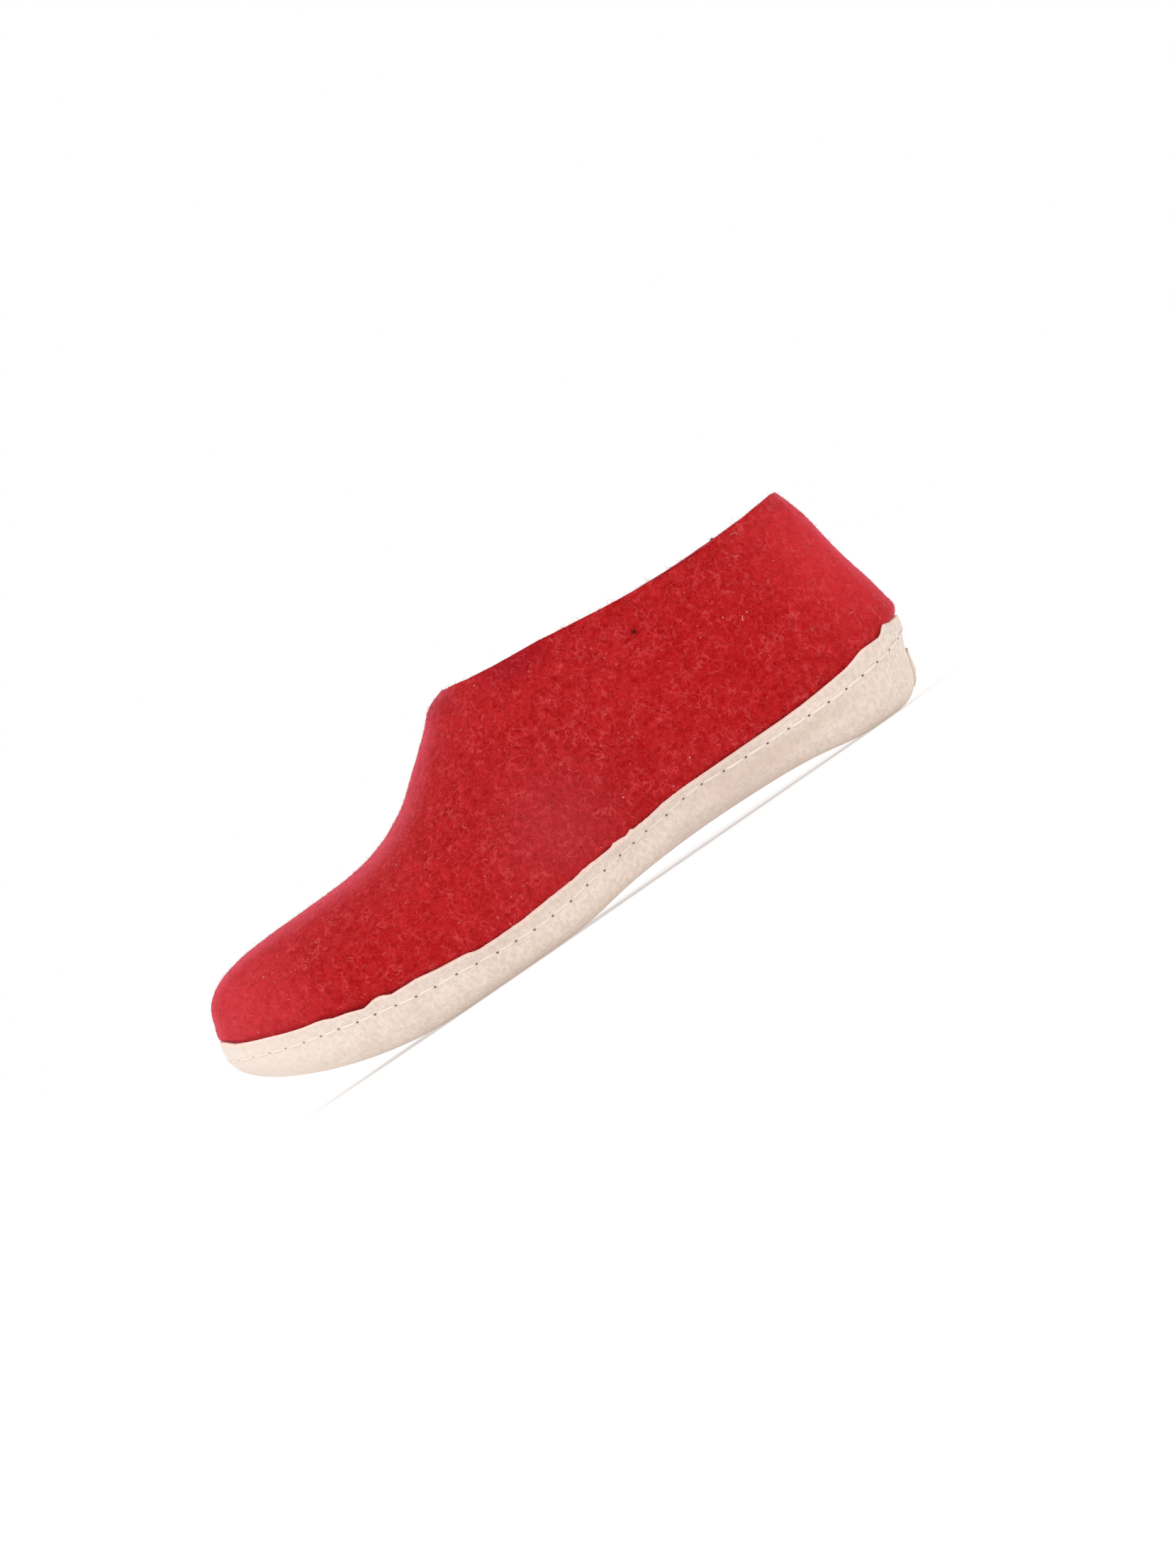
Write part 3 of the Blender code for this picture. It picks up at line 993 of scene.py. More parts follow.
def raw_edge_material():
    """The pinched raw edges of the heel seam, with painted shade down in the fold."""
    raw = Shader("raw_suede_edge", Roughness=0.95, Specular_IOR_Level=0.1, Sheen_Weight=0.15)
    stand = raw.attribute("stand")
    fibres = raw.noise(raw.place(), 0.6 * MM, detail=3.0, roughness=0.7)
    reach = raw.plus(stand, raw.times(raw.math("SUBTRACT", fibres, 0.5), 0.5))
    # Painted shade: dark where the edges meet down in the fold, pale where they stand out.
    raw.paint(raw.tint(srgb(140, 116, 100), raw.ramp(reach, 0.15, 0.75), 244, 228, 210))
    raw.bump(fibres, 0.25 * MM, 0.8)
    return raw.material


# Felt


def rim_sag(points):
    """How far the edge of the collar is raised or lowered at each point."""
    lift = np.zeros(len(points))
    for side, at, amount, half_width in RIM_SAGS:
        lift += one_side(amount * MM * bell(station(points[:, 1]), at, half_width), points, side)
    collar = table_value(COLLAR_HEIGHTS, station(points[:, 1])) * MM
    return lift * smooth_step(points[:, 2], collar - 16 * MM, collar - 3 * MM)


def wander(points, size, seed):
    """Smooth noise from -1 to 1 at each point."""
    shift = Vector((seed, -seed, 2.0 * seed))
    return np.array([noise.noise(Vector(point) / size + shift) for point in points])


def felt_outside(points, normals):
    """True where a point is on the outer face of the felt."""
    middle = np.zeros((len(points), 3))
    middle[:, 1] = np.clip(points[:, 1], *FELT_MIDDLE)
    middle[:, 2] = FELT_MIDDLE_HEIGHT
    return np.einsum("ij,ij->i", points - middle, normals) > 0


def above_edge(points, top):
    """How far each point is above the top edge of the suede beside it."""
    return points[:, 2] - top.at(toe_angle(points[:, 0], points[:, 1]))


def refine_joint(obj, top):
    """Makes the felt's mesh finer in a band along the top edge of the suede."""
    mesh = obj.data
    centres = np.array([polygon.center for polygon in mesh.polygons])
    normals = np.array([polygon.normal for polygon in mesh.polygons])
    height = above_edge(centres, top)
    band = (height > -3.0 * MM) & (height < 4.5 * MM) & felt_outside(centres, normals)
    with editing(obj, "FACE"):
        bpy.ops.object.mode_set(mode="OBJECT")
        mesh.polygons.foreach_set("select", band)
        bpy.ops.object.mode_set(mode="EDIT")
        bpy.ops.mesh.subdivide(number_cuts=2)


def shape_felt(obj, settings, top=None):
    """Gives felt its slightly wandering surface, and the upper its folds and its seat on the suede."""
    mesh = obj.data
    points, normals = coordinates(mesh), vertex_normals(mesh)
    move = settings.unevenness * (0.7 * wander(points, 7 * MM, 3.1) + 0.5 * wander(points, 2.8 * MM, 8.7))
    if top is None:
        set_coordinates(mesh, points + normals * move[:, None])
        return
    outside = felt_outside(points, normals)
    over = above_edge(points, top)
    free = np.where(outside, smooth_step(over, -1.2 * MM, 0.6 * MM), 1.0)
    move += swell(FELT_FOLDS, points) * np.where(outside, 1.0, -1.0) * free
    ends = smooth_step(np.abs(station(points[:, 1]) - 0.5), 0.44, 0.48)
    pinch = np.exp(-((over - 0.1 * MM) / (0.8 * MM)) ** 2) * outside * (1.0 - ends)
    points = points + normals * (move - 0.18 * MM * pinch)[:, None]
    points[:, 2] += rim_sag(points)
    set_coordinates(mesh, points)
    places = station(points[:, 1])
    # The painted shade along the suede's edge fades out towards the heel.
    joint_shadow_fade = 1.2 * MM * smooth_step(places, 0.86, 0.93)
    over = np.maximum(above_edge(points, top), 0.0) + joint_shadow_fade
    write_attribute(mesh, "above_edge", np.where(outside, over, 1.0))
    # Where the collar's top faces up, the felt gets a painted dark line of shade.
    collar = table_value(COLLAR_HEIGHTS, places) * MM
    facing_up = normals[:, 2] - np.interp(places, (0.50, 0.56), (0.45, 0.0))
    near_top = smooth_step(points[:, 2], collar - 6 * MM, collar - 3 * MM)
    write_attribute(mesh, "collar_shade_line", smooth_step(facing_up, 0.15, 0.55) * near_top)


class SLIPPER_OT_felt_upper(Operator):
    """Make the seamless felt upper with its soft folds"""

    bl_idname = "slipper.felt_upper"
    bl_label = "Felt upper"

    def execute(self, context):
        settings = context.scene.slipper_felt
        top = finished_top()
        upper = copy_of_node("upper", "felt_upper")
        subdivide(upper, 2)
        refine_joint(upper, top)
        shape_felt(upper, settings, top)
        finish_piece(upper, felt_material("wool_felt", settings), "upper")
        return {"FINISHED"}


class SLIPPER_OT_felt_insole(Operator):
    """Make the felt insole that lies in the opening under the foot"""

    bl_idname = "slipper.felt_insole"
    bl_label = "Felt insole"

    def execute(self, context):
        settings = context.scene.slipper_felt
        insole = copy_of_node("insole", "felt_insole")
        crease_sharp_edges(insole, math.radians(40), 0.6)
        subdivide(insole, 3)
        shape_felt(insole, settings)
        write_attribute(insole.data, "above_edge", np.full(len(insole.data.vertices), 1.0))
        finish_piece(insole, felt_material("insole_felt", settings, worn=0.25), "insole")
        return {"FINISHED"}


# Suede sole


def ground_line(points):
    """The lowest point of the sole at each station."""
    places = np.linspace(0.0, 1.0, 60)
    near = station(points[:, 1])
    lowest = [points[np.abs(near - place) < 0.02, 2].min() for place in places]
    return places, np.array(lowest)


def edge_lift(points, turn, top):
    """How far the cut edge is lifted or lowered beside each point."""
    place = station(points[:, 1])
    charted = table_value(OUTER_EDGE, place) * LENGTH - top.at(turn)
    waves = np.zeros(len(points))
    for at, amount, half_width in INNER_WAVES:
        waves += amount * MM * bell(place, at, half_width)
    ends = smooth_step(place, 0.93, 0.96) + smooth_step(place, 0.05, 0.02)
    share = np.where(turn > 0, 1.0, ends)
    return share * charted + (1.0 - share) * waves


def wall_bulge(points, outward):
    """How far the outer face of the wall wanders and swells, with a groove up the back of the heel."""
    wavy = 0.20 * MM * wander(points, 9 * MM, 5.3) + 0.09 * MM * wander(points, 3.5 * MM, 1.9)
    groove = np.exp(-((points[:, 0] / (1.7 * MM)) ** 2)) * (points[:, 1] > 0)
    groove *= smooth_step(points[:, 2], 16 * MM, 13 * MM)
    outer = smooth_step(outward, 0.05, 0.35)
    bulge = outer * (wavy + swell(SUEDE_SWELLS, points) - 0.8 * MM * groove)
    return bulge * smooth_step(points[:, 2], 1.0 * MM, 2.5 * MM)


def rim_lean(points, depth):
    """How far the top of the wall leans out at each point."""
    lean = np.zeros(len(points))
    for at, amount, half_width in RIM_LEANS:
        lean += amount * MM * bell(station(points[:, 1]), at, half_width)
    return lean * smooth_step(depth, 6.0 * MM, 0.5 * MM)


def write_wall_map(mesh, edge, turn, depth):
    """A UV map in metres: the way along the cut edge, and the depth below it."""
    corners = whole_numbers(mesh.loops, "vertex_index")
    starts = whole_numbers(mesh.polygons, "loop_start")
    totals = whole_numbers(mesh.polygons, "loop_total")
    owner = np.repeat(np.arange(len(starts)), totals)
    corner_turn = turn[corners]
    widest = np.maximum.reduceat(corner_turn, starts) - np.minimum.reduceat(corner_turn, starts)
    wraps = (widest[owner] > math.pi) & (corner_turn < 0)
    along = edge.length_to(corner_turn) + wraps * edge.girth
    layer = mesh.uv_layers.new(name="wall")
    layer.uv.foreach_set("vector", np.column_stack([along, depth[corners]]).ravel())


class SLIPPER_OT_suede_sole(Operator):
    """Make the suede cup sole with its hand-cut edge and its swellings"""

    bl_idname = "slipper.suede_sole"
    bl_label = "Suede sole"

    def execute(self, context):
        sole = copy_of_node("sole", "suede_sole")
        edge = CutEdge(sole.data)
        crease_sharp_edges(sole, math.radians(50), 0.45)
        subdivide(sole, 3)
        mesh = sole.data
        points, normals = coordinates(mesh), vertex_normals(mesh)
        turn = toe_angle(points[:, 0], points[:, 1])
        top = TopLine(mesh, edge)
        depth = top.at(turn) - points[:, 2]
        points[:, 2] += edge_lift(points, turn, top) * np.exp(-((np.maximum(depth, 0.0) / (5.0 * MM)) ** 2))
        outward = np.array([Vector(n[:2]).dot(away(p)) for n, p in zip(normals, points)])
        level = np.array([away(point) for point in points])
        bulge, lean = wall_bulge(points, outward), rim_lean(points, depth)
        points[:, :2] += normals[:, :2] * bulge[:, None] + level * lean[:, None]
        set_coordinates(mesh, points)
        self.map_wall(mesh, edge, points, outward)
        finish_piece(sole, suede_material(context.scene.slipper_suede), "sole")
        return {"FINISHED"}

    def map_wall(self, mesh, edge, points, outward):
        """What the material reads: the way along and down the wall, and the shadow inside its edge."""
        turn = toe_angle(points[:, 0], points[:, 1])
        depth = TopLine(mesh, edge).at(turn) - points[:, 2]
        rim = edge.at(turn)
        inward = np.hypot(rim[:, 0], rim[:, 1]) - np.hypot(points[:, 0], points[:, 1])
        ground = np.interp(station(points[:, 1]), *ground_line(points))
        write_wall_map(mesh, edge, turn, depth + np.maximum(inward - 3 * MM, 0.0))
        write_attribute(mesh, "wall_share", depth / np.maximum(rim[:, 2] - ground, MM))
        write_attribute(mesh, "rim_shadow", smooth_step(outward, 0.15, -0.25) * (depth < 6 * MM))


# Sewing


def sewing_points(edge, tree, pitch):
    """The needle holes in order round the sole: place, and the wall's outward direction there.

    They are charted on the outer side, which the inner side follows half a stitch on."""
    chart = np.array(NEEDLE_HOLES)
    outer = [side_hole(tree, 1, *row) for row in chart]
    between = (chart[1:] + chart[:-1]) / 2
    inner = [side_hole(tree, -1, *row) for row in between[::-1]]
    heel = end_holes(edge, tree, outer[-1], inner[0], pitch)
    toe = end_holes(edge, tree, inner[-1], outer[0], pitch)
    return outer + heel + inner + toe


def side_look(side, place, height):
    """The start and the direction of a level look from one side, at a place in shares of LENGTH."""
    start = Vector((side * BESIDE, TOE_Y + place * LENGTH, height * LENGTH))
    return start, Vector((-side, 0.0, 0.0))


def side_hole(tree, side, place, height):
    """The point that a level look from one side meets first, and its outward normal."""
    return wall_hit(tree, *side_look(side, place, height))


def end_holes(edge, tree, first, last, pitch):
    """Holes evenly spaced round the heel or the toe, from one hole to another."""
    turns = [math.atan2(place.x, -place.y) for place, _ in (first, last)]
    lengths = edge.length_to(np.array(turns))
    gap = (lengths[1] - lengths[0]) % edge.girth
    count = max(int(round(gap / pitch)), 1)
    holes = []
    for step in range(1, count):
        share = step / count
        turn = edge.turn_at((lengths[0] + share * gap) % edge.girth)
        rim = Vector(edge.at(np.array([turn]))[0])
        rise = math.sin(math.pi * share) * 2.4 * MM
        height = first[0].z * (1 - share) + last[0].z * share + rise
        level = away(rim)
        outward = Vector((level.x, level.y, 0.0))
        holes.append(wall_hit(tree, Vector((rim.x, rim.y, height)) + outward * 20 * MM, -outward))
    return holes


def wall_hit(tree, start, direction):
    """The point that a look meets first, and its outward normal."""
    place, normal, _, _ = tree.ray_cast(start, direction)
    if place is None:
        raise RuntimeError("a look that should meet the slipper's wall misses it")
    return place, normal


def stitch_template(context):
    """One stitch along X from 0 to 1, made from a cylinder: a round thread, cut across so that it can dive at
    both ends.
    """
    bpy.ops.object.select_all(action="DESELECT")
    bpy.ops.mesh.primitive_cylinder_add(
        vertices=8, radius=0.5, depth=1.0, end_fill_type="TRIFAN", location=(0.5, 0, 0),
        rotation=(0, math.pi / 2, 0),
    )
    obj = context.object
    bpy.ops.object.transform_apply(location=True, rotation=True, scale=True)
    cut_across(obj, (0.07, 0.18, 0.35, 0.5, 0.65, 0.82, 0.93), Vector((1, 0, 0)))
    return obj


class SLIPPER_OT_edge_stitching(Operator):
    """Sew round the suede below its cut edge, with a needle hole at each end of a stitch"""

    bl_idname = "slipper.edge_stitching"
    bl_label = "Edge stitching"

    def execute(self, context):
        settings = context.scene.slipper_suede
        edge = CutEdge(merged_node_mesh("sole"))
        tree = surface_tree(bpy.data.objects["suede_sole"])
        holes = sewing_points(edge, tree, settings.pitch)
        self.sew_thread(context, holes, tree, settings)
        self.prick_holes(holes)
        return {"FINISHED"}

    def sew_thread(self, context, holes, tree, settings):
        template = stitch_template(context)
        shape = coordinates(template.data)
        faces = [tuple(polygon.vertices) for polygon in template.data.polygons]
        bpy.data.objects.remove(template)
        seeded = np.random.default_rng(THREAD_SEED)
        points, all_faces, ply = [], [], []
        for (start, start_normal), (end, end_normal) in zip(holes, holes[1:] + holes[:1]):
            run = end - start
            base = len(points)
            full = table_value(THREAD_FULLNESS, station(start.y))
            width = settings.thread_width * (0.5 + 0.5 * full) * seeded.uniform(0.88, 1.08)
            sway = seeded.uniform(-0.14, 0.14) * MM
            stand = width * (0.24 * full * seeded.uniform(0.85, 1.1) - 0.09)
            for x, y, z in shape:
                share = 0.55 * width / run.length + x * (1 - 1.1 * width / run.length)
                normal = start_normal.lerp(end_normal, share).normalized()
                across = run.normalized().cross(normal).normalized()
                taper = 1.0 - 0.40 * abs(2 * x - 1) ** 5
                dive = -0.55 * width * abs(2 * x - 1) ** 7
                nearest, _, _, _ = tree.find_nearest(start + run * share)
                middle = nearest + normal * (stand + dive) + across * sway * math.sin(math.pi * x)
                points.append(middle + across * y * width * taper + normal * z * width * 0.42 * taper)
                ply.append((x * run.length / width, math.atan2(z, y) / math.tau))
            all_faces += [tuple(i + base for i in face) for face in faces]
        thread = mesh_object("edge_thread", points, all_faces)
        layer = thread.data.uv_layers.new(name="ply")
        for loop in thread.data.loops:
            layer.uv[loop.index].vector = ply[loop.vertex_index]
        face_outward(thread)
        finish_piece(thread, thread_material(settings))

    def prick_holes(self, holes):
        sides, radius = 12, 0.74 * MM
        rings = (
            # share of the radius, how far out to the suede's colour, stand
            (0.40, 0.25, 0.07 * MM),
            (0.75, 0.75, 0.06 * MM),
            (1.00, 1.00, -0.04 * MM),
        )
        points, faces, rims = [], [], []
        for place, normal in holes:
            base = len(points)
            turn = normal.to_track_quat("Z", "Y").to_matrix()
            points.append(place + normal * 0.07 * MM)
            rims.append(0.0)
            for share, out, stand in rings:
                for k in range(sides):
                    angle = math.tau * k / sides
                    flat = Vector((math.cos(angle), 0.8 * math.sin(angle), 0.0)) * radius * share
                    points.append(place + turn @ flat + normal * stand)
                    rims.append(out)
            for k in range(sides):
                after = (k + 1) % sides
                faces.append((base, base + 1 + k, base + 1 + after))
                for ring in range(len(rings) - 1):
                    low = base + 1 + ring * sides
                    faces.append((low + k, low + sides + k, low + sides + after, low + after))
        made = mesh_object("needle_holes", points, faces)
        write_attribute(made.data, "hole_rim", np.array(rims))
        finish_piece(made, hole_material())


# Heel seam


def heel_back(tree, height):
    """How far back the wall of the sole reaches at this height."""
    place, _ = wall_hit(tree, Vector((0.0, BESIDE, height)), Vector((0.0, -1.0, 0.0)))
    return place.y


class SLIPPER_OT_heel_seam(Operator):
    """Make the pinched seam up the back of the sole, with its raw edges and frayed thread ends"""

    bl_idname = "slipper.heel_seam"
    bl_label = "Heel seam"

    def execute(self, context):
        tree = surface_tree(bpy.data.objects["suede_sole"])
        layers = [self.raw_edge(context, tree, side) for side in (-1, 1)]
        pick(layers[0])
        for layer in layers:
            layer.select_set(True)
        bpy.ops.object.join()
        seam = context.object
        seam.name = "heel_seam"
        subdivide(seam, 1)
        points = coordinates(seam.data)
        back = np.array([heel_back(tree, min(max(z, 3 * MM), 24 * MM)) for z in points[:, 2]])
        write_attribute(seam.data, "stand", np.clip((points[:, 1] - back) / (1.8 * MM), 0.0, 1.0))
        finish_piece(seam, raw_edge_material())
        self.frayed_ends(tree)
        return {"FINISHED"}

    def raw_edge(self, context, tree, side):
        """One of the two layers that are pinched together, as a strip standing out from the heel."""
        bottom, top = 3.3 * MM, 15.2 * MM
        bpy.ops.object.select_all(action="DESELECT")
        bpy.ops.mesh.primitive_cube_add(size=1.0, location=(0, 0, 0.5))
        layer = context.object
        bpy.ops.object.transform_apply(location=True, rotation=False, scale=False)
        cut_across(layer, [cut / 16 for cut in range(1, 16)], Vector((0, 0, 1)))
        cut_across(layer, (-0.2, 0.2), Vector((0, 1, 0)))
        shaped = []
        for x, y, z in coordinates(layer.data):
            height = bottom + z * (top - bottom)
            ends = math.sin(math.pi * min(max(z, 0.03), 0.97)) ** 0.5
            ragged = 0.28 * MM * noise.noise(Vector((side * 3.0, 0.0, height / (1.8 * MM))))
            tip = (0.60 + 1.45 * ends) * MM + ragged
            waist = (0.35 + 0.95 * ends) * MM
            out = (-0.9 * MM, -0.1 * MM, waist, tip)[np.searchsorted((-0.3, 0.0, 0.3), y)]
            thick = 0.85 * MM * (1.0 - 0.25 * (y > 0))
            gap = 0.08 * MM + 0.10 * MM * (y > 0)
            sway = 0.30 * MM * noise.noise(Vector((1.0, 4.0, height / (5 * MM))))
            across = side * (gap + (x * side + 0.5) * thick)
            shaped.append((across + sway, heel_back(tree, height) + out, height))
        set_coordinates(layer.data, np.array(shaped))
        face_outward(layer)
        return layer

    def frayed_ends(self, tree):
        """The ends of the seam's thread, cut short and teased apart."""
        seeded = np.random.default_rng(FRAY_SEED)
        strands = []
        for height, length, rise, side in FRAYED_ENDS:
            root = Vector((side * MM, heel_back(tree, height * MM) - 0.2 * MM, height * MM))
            heading = Vector((side, 1.0, rise)).normalized()
            for _ in range(4):
                turned = (heading + Vector(seeded.normal(size=3)) * 0.25).normalized()
                strands.append(self.strand(root, turned, length * MM * seeded.uniform(0.6, 1.1), seeded))
        shades = fibre_materials("thread_end", "thread_end_dark")
        faces = strip_faces(len(strands), STRAND_STEPS)
        fibre_piece("frayed_ends", np.vstack(strands), faces, seeded.integers(0, 2, len(strands)), shades)

    def strand(self, root, heading, length, seeded):
        """One curved thread end as the points of a flat strip that narrows to its tip."""
        droop = Vector(seeded.normal(size=3)) * 0.35
        across = heading.orthogonal().normalized()
        rows = []
        for k in range(STRAND_STEPS):
            share = k / (STRAND_STEPS - 1)
            spot = root + heading * length * share + droop * length * share * share
            half = 0.5 * 0.20 * MM * (1.0 - 0.5 * share)
            rows += [spot - across * half, spot + across * half]
        return np.array(rows)


# Loose fibres


def scatter(obj, count, seeded, keep):
    """Points spread evenly over the faces that are kept, with the normals there."""
    mesh = obj.data
    mesh.calc_loop_triangles()
    corners = whole_numbers(mesh.loop_triangles, "vertices", 3).reshape(-1, 3)
    points, normals = coordinates(mesh), vertex_normals(mesh)
    middle = points[corners].mean(axis=1)
    middle_normal = normals[corners].mean(axis=1)
    corners = corners[keep(middle, middle_normal)]
    a, b, c = (points[corners[:, i]] for i in range(3))
    area = np.linalg.norm(np.cross(b - a, c - a), axis=1)
    chosen = seeded.choice(len(corners), size=count, p=area / area.sum())
    u, v = seeded.random(count), seeded.random(count)
    over = u + v > 1
    u, v = np.where(over, 1 - u, u), np.where(over, 1 - v, v)
    weights = np.column_stack([1 - u - v, u, v])[:, :, None]
    roots = (points[corners[chosen]] * weights).sum(axis=1)
    at = (normals[corners[chosen]] * weights).sum(axis=1)
    return roots, at / np.linalg.norm(at, axis=1)[:, None]


def curled_fibres(roots, normals, seeded, length, lift, width, curl, steps, loop_share=0.5):
    """Flat fibres that start at the roots, wander over the surface and stand off it by up to lift."""
    count = len(roots)
    helper = seeded.normal(size=(count, 3))
    first = np.cross(normals, helper)
    first /= np.linalg.norm(first, axis=1)[:, None]
    second = np.cross(normals, first)
    lengths = length * seeded.uniform(0.45, 1.25, count)
    heights = lift * seeded.gamma(1.6, 0.5, count).clip(0, 2.2)
    bend = curl * seeded.normal(size=count)
    sway = 0.5 * curl * seeded.normal(size=count)
    loops = seeded.random(count) < loop_share
    tilt = seeded.uniform(-0.6, 0.6, count)
    step = lengths / (steps - 1)
    place = np.zeros((count, 2))
    rows = []
    for k in range(steps):
        share = k / (steps - 1)
        heading = bend * (share - 0.5) + sway * math.sin(math.tau * share)
        ahead = np.column_stack([np.cos(heading), np.sin(heading)])
        rise = np.where(loops, math.sin(math.pi * share), share ** 1.4) * heights - 0.06 * MM
        spot = roots + first * place[:, :1] + second * place[:, 1:] + normals * rise[:, None]
        flat = first * -ahead[:, 1:] + second * ahead[:, :1]
        broad = flat * np.cos(tilt)[:, None] + normals * np.sin(tilt)[:, None]
        half = 0.5 * width * (1.0 - 0.75 * share ** 2)
        rows.append(spot - broad * half)
        rows.append(spot + broad * half)
        place += ahead * step[:, None]
    points = np.stack(rows, axis=1).reshape(-1, 3)
    return points, strip_faces(count, steps)


def strip_faces(count, steps):
    """The quads of flat strips, one after another, each with this many pairs of points."""
    base = (np.arange(count) * 2 * steps)[:, None, None]
    strip = np.array([(2 * k, 2 * k + 1, 2 * k + 3, 2 * k + 2) for k in range(steps - 1)])[None]
    return (base + strip).reshape(-1, 4)


def fibre_piece(name, points, faces, shade_of, materials):
    """A fuzz piece: each fibre takes one of the materials."""
    fuzz = mesh_object(name, points.tolist(), faces.tolist())
    for material in materials:
        fuzz.data.materials.append(material)
    per_fibre = len(faces) // len(shade_of)
    fuzz.data.polygons.foreach_set("material_index", np.repeat(shade_of, per_fibre))
    finish_piece(fuzz, None)


class SLIPPER_OT_felt_fibres(Operator):
    """Raise the loose fibres of the felt, and the nap along the cut edge of the suede"""

    bl_idname = "slipper.felt_fibres"
    bl_label = "Loose fibres"

    def execute(self, context):
        settings = context.scene.slipper_felt
        upper = bpy.data.objects["felt_upper"]
        top = finished_top()
        shades = fibre_materials("fibre_dark", "fibre_red", "fibre_bright", "fibre_pink", "fibre_pale")

        def above_sole(middle, normal):
            return (above_edge(middle, top) > 0.9 * MM) & felt_outside(middle, normal)

        def inside(middle, normal):
            return ~felt_outside(middle, normal) & (middle[:, 2] > 9 * MM)

        seeded = np.random.default_rng(FIBRE_SEED)
        for name, share, outer, length, lift, wide, curl, steps, odds in FIBRE_COATS:
            count = int(settings.fibres * share)
            roots, normals = scatter(upper, count, seeded, above_sole if outer else inside)
            points, faces = curled_fibres(
                roots, normals, seeded, length * MM, lift * MM, wide * settings.fibre_width, curl, steps=steps
            )
            shade_of = seeded.choice(len(shades), size=count, p=odds)
            fibre_piece(name, points, faces, shade_of, shades)
        self.edge_nap(bpy.data.objects["suede_sole"], top, seeded)
        tree = surface_tree(upper)
        self.knots(tree, seeded)
        self.pale_tangles(tree, seeded)
        return {"FINISHED"}

    def edge_nap(self, sole, top, seeded):
        """Short pale hairs along the cut edge of the suede."""

        def at_edge(middle, normal):
            return np.abs(above_edge(middle, top)) < 0.9 * MM

        hairs = fibre_materials("hair_light", "hair_grey")
        roots, normals = scatter(sole, EDGE_HAIRS, seeded, at_edge)
        points, faces = curled_fibres(
            roots, normals, seeded, 0.6 * MM, 0.16 * MM, 0.08 * MM, 1.8, steps=4, loop_share=0.3
        )
        fibre_piece("suede_edge_nap", points, faces, seeded.integers(0, 2, EDGE_HAIRS), hairs)

    def knots(self, tree, seeded):
        """Knots of dark wool and small pale ones, caught in the felt."""
        charted = [(1, *row) for row in PALE_KNOTS]
        dark = fibre_materials("burr_dark", "burr_brown")
        pale = fibre_materials("knot_pale", "knot_pink")
        self.knot_piece("wool_burrs", tree, BURRS, BURR_FIBRES, dark, seeded)
        self.knot_piece("pale_knots", tree, charted, KNOT_FIBRES, pale, seeded)

    def knot_piece(self, name, tree, rows, count, materials, seeded):
        """Knots of short curled fibres, each at its place on the felt, or nearest to it at the rim."""
        all_points = []
        for side, place, height, size in rows:
            start, inward = side_look(side, place, height)
            hit, normal, _, _ = tree.ray_cast(start, inward)
            if hit is None:
                hit, normal, _, _ = tree.find_nearest(Vector((side * RIM_OUT, start.y, start.z)))
            size *= MM
            roots = np.array(hit) + seeded.normal(size=(count, 3)) * size * 0.30
            normals = np.array(normal) + seeded.normal(size=(count, 3)) * 0.6
            normals /= np.linalg.norm(normals, axis=1)[:, None]
            points, _ = curled_fibres(
                roots, normals, seeded, 1.3 * size, 0.4 * size, 0.16 * MM, 5.0, steps=STRAND_STEPS
            )
            all_points.append(points)
        fibres = count * len(rows)
        faces = strip_faces(fibres, STRAND_STEPS)
        fibre_piece(name, np.vstack(all_points), faces, seeded.integers(0, 2, fibres), materials)

    def pale_tangles(self, tree, seeded):
        """Tangles of paler wool that lie in the outer side of the felt."""
        roots, normals, shade_of = [], [], []
        for place, height, spread, strands, shade in PALE_TANGLES:
            middle, _ = side_hole(tree, 1, place, height)
            for _ in range(strands):
                near = middle + Vector(seeded.normal(size=3)) * (spread * MM)
                spot, normal, _, _ = tree.find_nearest(near)
                roots.append(spot)
                normals.append(normal)
                shade_of.append(shade)
        points, faces = curled_fibres(
            np.array(roots), np.array(normals), seeded, 2.8 * MM, 0.20 * MM, 0.18 * MM, 3.4,
            steps=14, loop_share=0.9,
        )
        shades = fibre_materials("tangle_pink", "tangle_pale")
        fibre_piece("pale_tangles", points, faces, np.array(shade_of), shades)


# Stage


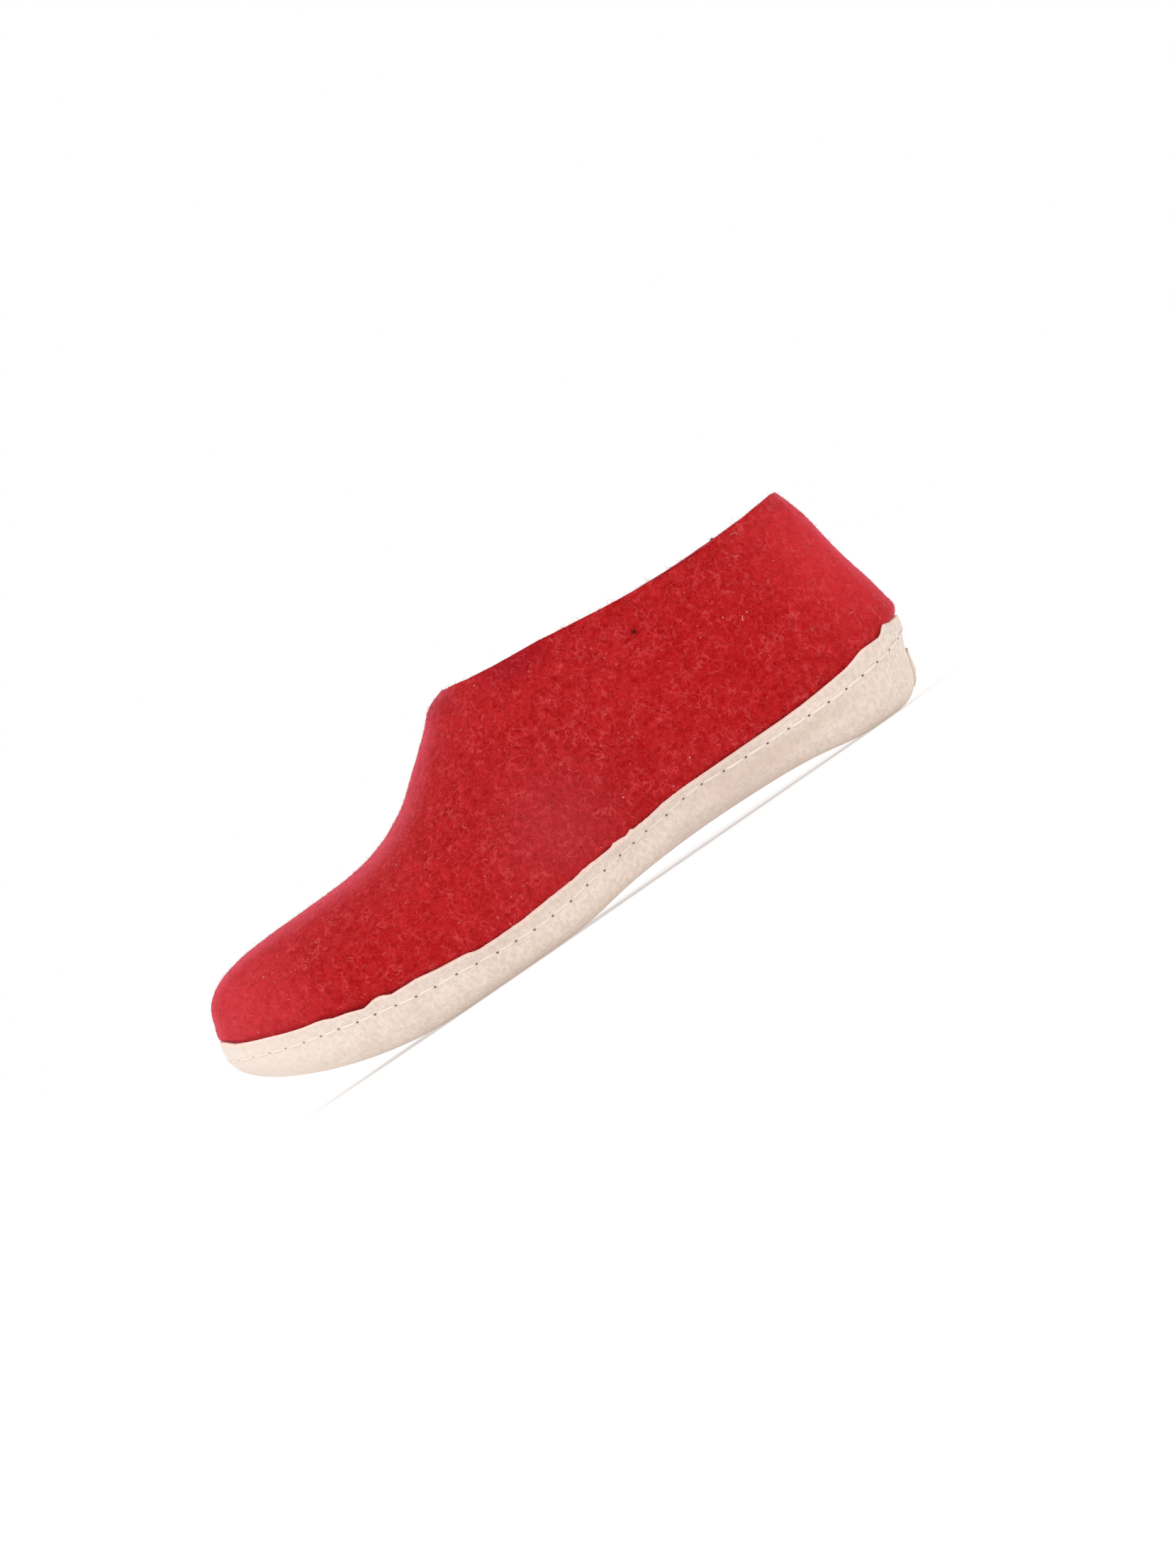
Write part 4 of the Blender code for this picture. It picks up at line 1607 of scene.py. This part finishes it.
class SLIPPER_OT_stage(Operator):
    """Set the pale floor, the soft light and the camera at the photo's angle"""

    bl_idname = "slipper.stage"
    bl_label = "Stage"

    def execute(self, context):
        settings = context.scene.slipper_stage
        self.floor(context, settings)
        self.world(context)
        self.light(context, settings.key)
        self.camera(context, settings)
        context.scene.view_settings.view_transform = "Standard"
        context.scene.view_settings.look = "None"
        return {"FINISHED"}

    def floor(self, context, settings):
        bpy.ops.object.select_all(action="DESELECT")
        bpy.ops.mesh.primitive_plane_add(size=60.0, location=(0, 0, -0.0002))
        floor = context.object
        floor.name = "floor"
        bpy.ops.object.transform_apply(location=True, rotation=False, scale=False)
        pale = Shader(
            "pale_floor", Roughness=0.9, Specular_IOR_Level=0.1, Emission_Color=(1.0, 1.0, 1.0),
            Emission_Strength=0.42,
        )
        patches = pale.noise(pale.place(), 0.8)
        lighter = (0.64, 0.64, 0.64)
        pale.paint(pale.mix(pale.ramp(patches, 0.3, 0.7, 0.0, 0.02), settings.floor, lighter))
        floor.data.materials.append(pale.material)

    def world(self, context):
        world = bpy.data.worlds.new("studio")
        world.use_nodes = True
        world.node_tree.nodes["Background"].inputs["Color"].default_value = (1, 1, 1, 1)
        world.node_tree.nodes["Background"].inputs["Strength"].default_value = 1.0
        context.scene.world = world

    def light(self, context, power):
        """One wide soft lamp, high on the outer side and a little towards the toe."""
        lamp = bpy.data.lights.new("key", "AREA")
        lamp.shape = "DISK"
        lamp.size = 1.6
        lamp.energy = power
        place = Vector((2.4, -0.9, 2.2))
        obj = bpy.data.objects.new("key", lamp)
        obj.location = place
        obj.rotation_mode = "QUATERNION"
        obj.rotation_quaternion = (-place).to_track_quat("-Z", "Y")
        obj.visible_camera = False
        context.collection.objects.link(obj)

    def camera(self, context, settings):
        """Level with the outer side, rolled so that the heel is up, framed as the photo is."""
        lens = bpy.data.cameras.new("camera")
        camera = bpy.data.objects.new("camera", lens)
        context.collection.objects.link(camera)
        centre = Vector((0.0, TOE_Y + PHOTO_STATION * LENGTH, PHOTO_LEVEL))
        tilt, roll = settings.elevation, settings.roll
        back = Vector((math.cos(tilt), 0.0, math.sin(tilt)))
        level_up = Vector((-math.sin(tilt), 0.0, math.cos(tilt)))
        level_right = Vector((0.0, 1.0, 0.0))
        right = level_right * math.cos(roll) - level_up * math.sin(roll)
        up = level_right * math.sin(roll) + level_up * math.cos(roll)
        turn = Matrix((right, up, back)).transposed()
        camera.rotation_mode = "QUATERNION"
        camera.rotation_quaternion = turn.to_quaternion()
        camera.location = centre + back * settings.distance
        lens.sensor_width = 36.0
        lens.lens = lens.sensor_width * settings.distance / (PHOTO_HEIGHT * PHOTO_SCALE)
        lens.clip_start, lens.clip_end = 0.05, 100.0
        context.scene.camera = camera


# Add-on


class SLIPPER_PT_panel(Panel):
    """Lists what the slipper is made of"""

    bl_idname = "SLIPPER_PT_panel"
    bl_label = "Felt slipper"
    bl_space_type = "VIEW_3D"
    bl_region_type = "UI"
    bl_category = "Slipper"

    def draw(self, context):
        layout = self.layout
        for group, name in SETTINGS:
            for field in group.__annotations__:
                layout.prop(getattr(context.scene, name), field)
        for operator in OPERATORS:
            layout.operator(operator.bl_idname)


OPERATORS = (
    SLIPPER_OT_suede_sole,
    SLIPPER_OT_felt_upper,
    SLIPPER_OT_felt_insole,
    SLIPPER_OT_edge_stitching,
    SLIPPER_OT_heel_seam,
    SLIPPER_OT_felt_fibres,
    SLIPPER_OT_stage,
)
SETTINGS = (
    (FeltSettings, "slipper_felt"),
    (SuedeSettings, "slipper_suede"),
    (StageSettings, "slipper_stage"),
)


def register():
    for group, name in SETTINGS:
        bpy.utils.register_class(group)
        setattr(bpy.types.Scene, name, PointerProperty(type=group))
    for cls in (*OPERATORS, SLIPPER_PT_panel):
        bpy.utils.register_class(cls)


def unregister():
    for cls in (SLIPPER_PT_panel, *reversed(OPERATORS)):
        bpy.utils.unregister_class(cls)
    for group, name in reversed(SETTINGS):
        delattr(bpy.types.Scene, name)
        bpy.utils.unregister_class(group)


def main():
    register()
    bpy.ops.slipper.suede_sole()
    bpy.ops.slipper.felt_upper()
    bpy.ops.slipper.felt_insole()
    bpy.ops.slipper.edge_stitching()
    bpy.ops.slipper.heel_seam()
    bpy.ops.slipper.felt_fibres()
    bpy.ops.slipper.stage()


if __name__ == "__main__":
    main()
